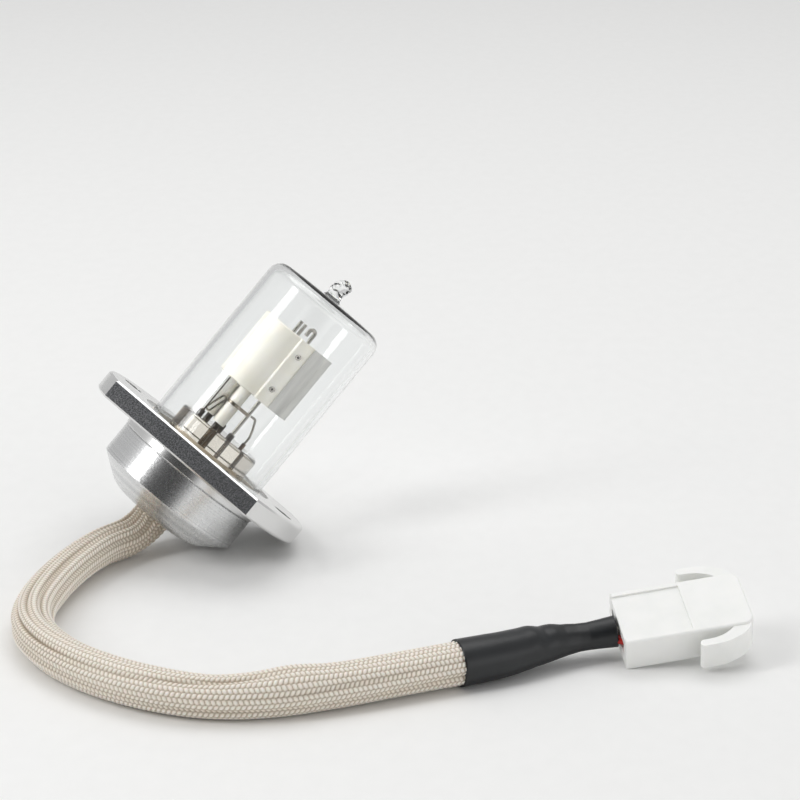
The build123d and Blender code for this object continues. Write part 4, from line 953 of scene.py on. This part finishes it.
def area_light(name, place, target, width, height, power):
    """One rectangular studio light aimed at a point."""
    data = bpy.data.lights.new(name, "AREA")
    data.shape = "RECTANGLE"
    data.size = width
    data.size_y = height
    data.energy = power
    light = bpy.data.objects.new(name, data)
    light.location = place
    light.rotation_euler = (Vector(target) - Vector(place)).to_track_quat("-Z", "Y").to_euler()
    bpy.context.scene.collection.objects.link(light)


def pale_room(brightness):
    """A world that is pale all round, apart from the room's darker and brighter parts."""
    world = bpy.data.worlds.new("room")
    world.use_nodes = True
    tree = world.node_tree
    tree.nodes.clear()
    where = add(tree, "ShaderNodeTexCoord").outputs["Generated"]
    for direction, edge, core, strength in ROOM_PATCHES:
        facing = add(tree, "ShaderNodeVectorMath", {0: where, 1: direction}, operation="DOT_PRODUCT")
        patch = add(tree, "ShaderNodeMapRange", {
            "Value": facing.outputs["Value"], "From Min": edge, "From Max": core,
            "To Min": 1.0, "To Max": strength}, interpolation_type="SMOOTHSTEP")
        both = add(tree, "ShaderNodeMath", {0: patch.outputs[0], 1: brightness}, operation="MULTIPLY")
        brightness = both.outputs[0]
    room = add(tree, "ShaderNodeBackground", {"Color": colour("#FFFFFF"), "Strength": brightness})
    add(tree, "ShaderNodeOutputWorld", {"Surface": room.outputs[0]})
    return world


class LAMP_OT_stage(bpy.types.Operator):
    """Lays the pale floor and sets the studio lights"""
    bl_idname = "lamp.stage"
    bl_label = "Floor and lights"

    def execute(self, context):
        settings = context.scene.lamp_studio
        spots = np.meshgrid(np.linspace(-1.6, 1.6, 9), np.linspace(-1.4, 3.2, 9), indexing="ij")
        mesh = grid_mesh("studio_floor", np.stack([*spots, np.zeros((9, 9))], axis=-1), closed_rows=False)
        mesh.materials.append(bench_paint())
        floor = bpy.data.objects.new("studio_floor", mesh)
        context.scene.collection.objects.link(floor)
        context.scene.world = pale_room(settings.room)
        for name, (place, target, width, height, share) in STUDIO_LIGHTS.items():
            area_light(name, place, target, width, height, settings.key * share)
        context.scene.view_settings.view_transform = "Standard"
        return {"FINISHED"}


class LAMP_PT_panel(bpy.types.Panel):
    """Lists the lamp's pieces and settings"""
    bl_label = "Deuterium lamp"
    bl_idname = "LAMP_PT_panel"
    bl_space_type = "VIEW_3D"
    bl_region_type = "UI"
    bl_category = "Deuterium lamp"

    def draw(self, context):
        for group in (context.scene.lamp_lead, context.scene.lamp_bulb, context.scene.lamp_studio):
            for name in group.bl_rna.properties.keys():
                if name not in {"rna_type", "name"}:
                    self.layout.prop(group, name)
        for operator in OPERATORS:
            self.layout.operator(operator.bl_idname)


GROUPS = (LeadSettings, BulbSettings, StudioSettings)
OPERATORS = (
    LAMP_OT_camera, LAMP_OT_shrink, LAMP_OT_lead, LAMP_OT_envelope, LAMP_OT_stem, LAMP_OT_electrodes, LAMP_OT_coil,
    LAMP_OT_base, LAMP_OT_plug, LAMP_OT_stage)


def register():
    """Adds the classes and the scene's settings"""
    for made in GROUPS + OPERATORS + (LAMP_PT_panel,):
        bpy.utils.register_class(made)
    bpy.types.Scene.lamp_lead = bpy.props.PointerProperty(type=LeadSettings)
    bpy.types.Scene.lamp_bulb = bpy.props.PointerProperty(type=BulbSettings)
    bpy.types.Scene.lamp_studio = bpy.props.PointerProperty(type=StudioSettings)


def unregister():
    """Takes the settings and classes away again"""
    del bpy.types.Scene.lamp_studio
    del bpy.types.Scene.lamp_bulb
    del bpy.types.Scene.lamp_lead
    for made in reversed(GROUPS + OPERATORS + (LAMP_PT_panel,)):
        bpy.utils.unregister_class(made)


def main():
    """Makes every piece in turn"""
    register()
    bpy.ops.lamp.camera()
    bpy.ops.lamp.shrink()
    bpy.ops.lamp.lead()
    bpy.ops.lamp.envelope()
    bpy.ops.lamp.stem()
    bpy.ops.lamp.electrodes()
    bpy.ops.lamp.coil()
    bpy.ops.lamp.base()
    bpy.ops.lamp.plug()
    bpy.ops.lamp.stage()


if __name__ == "__main__":
    main()
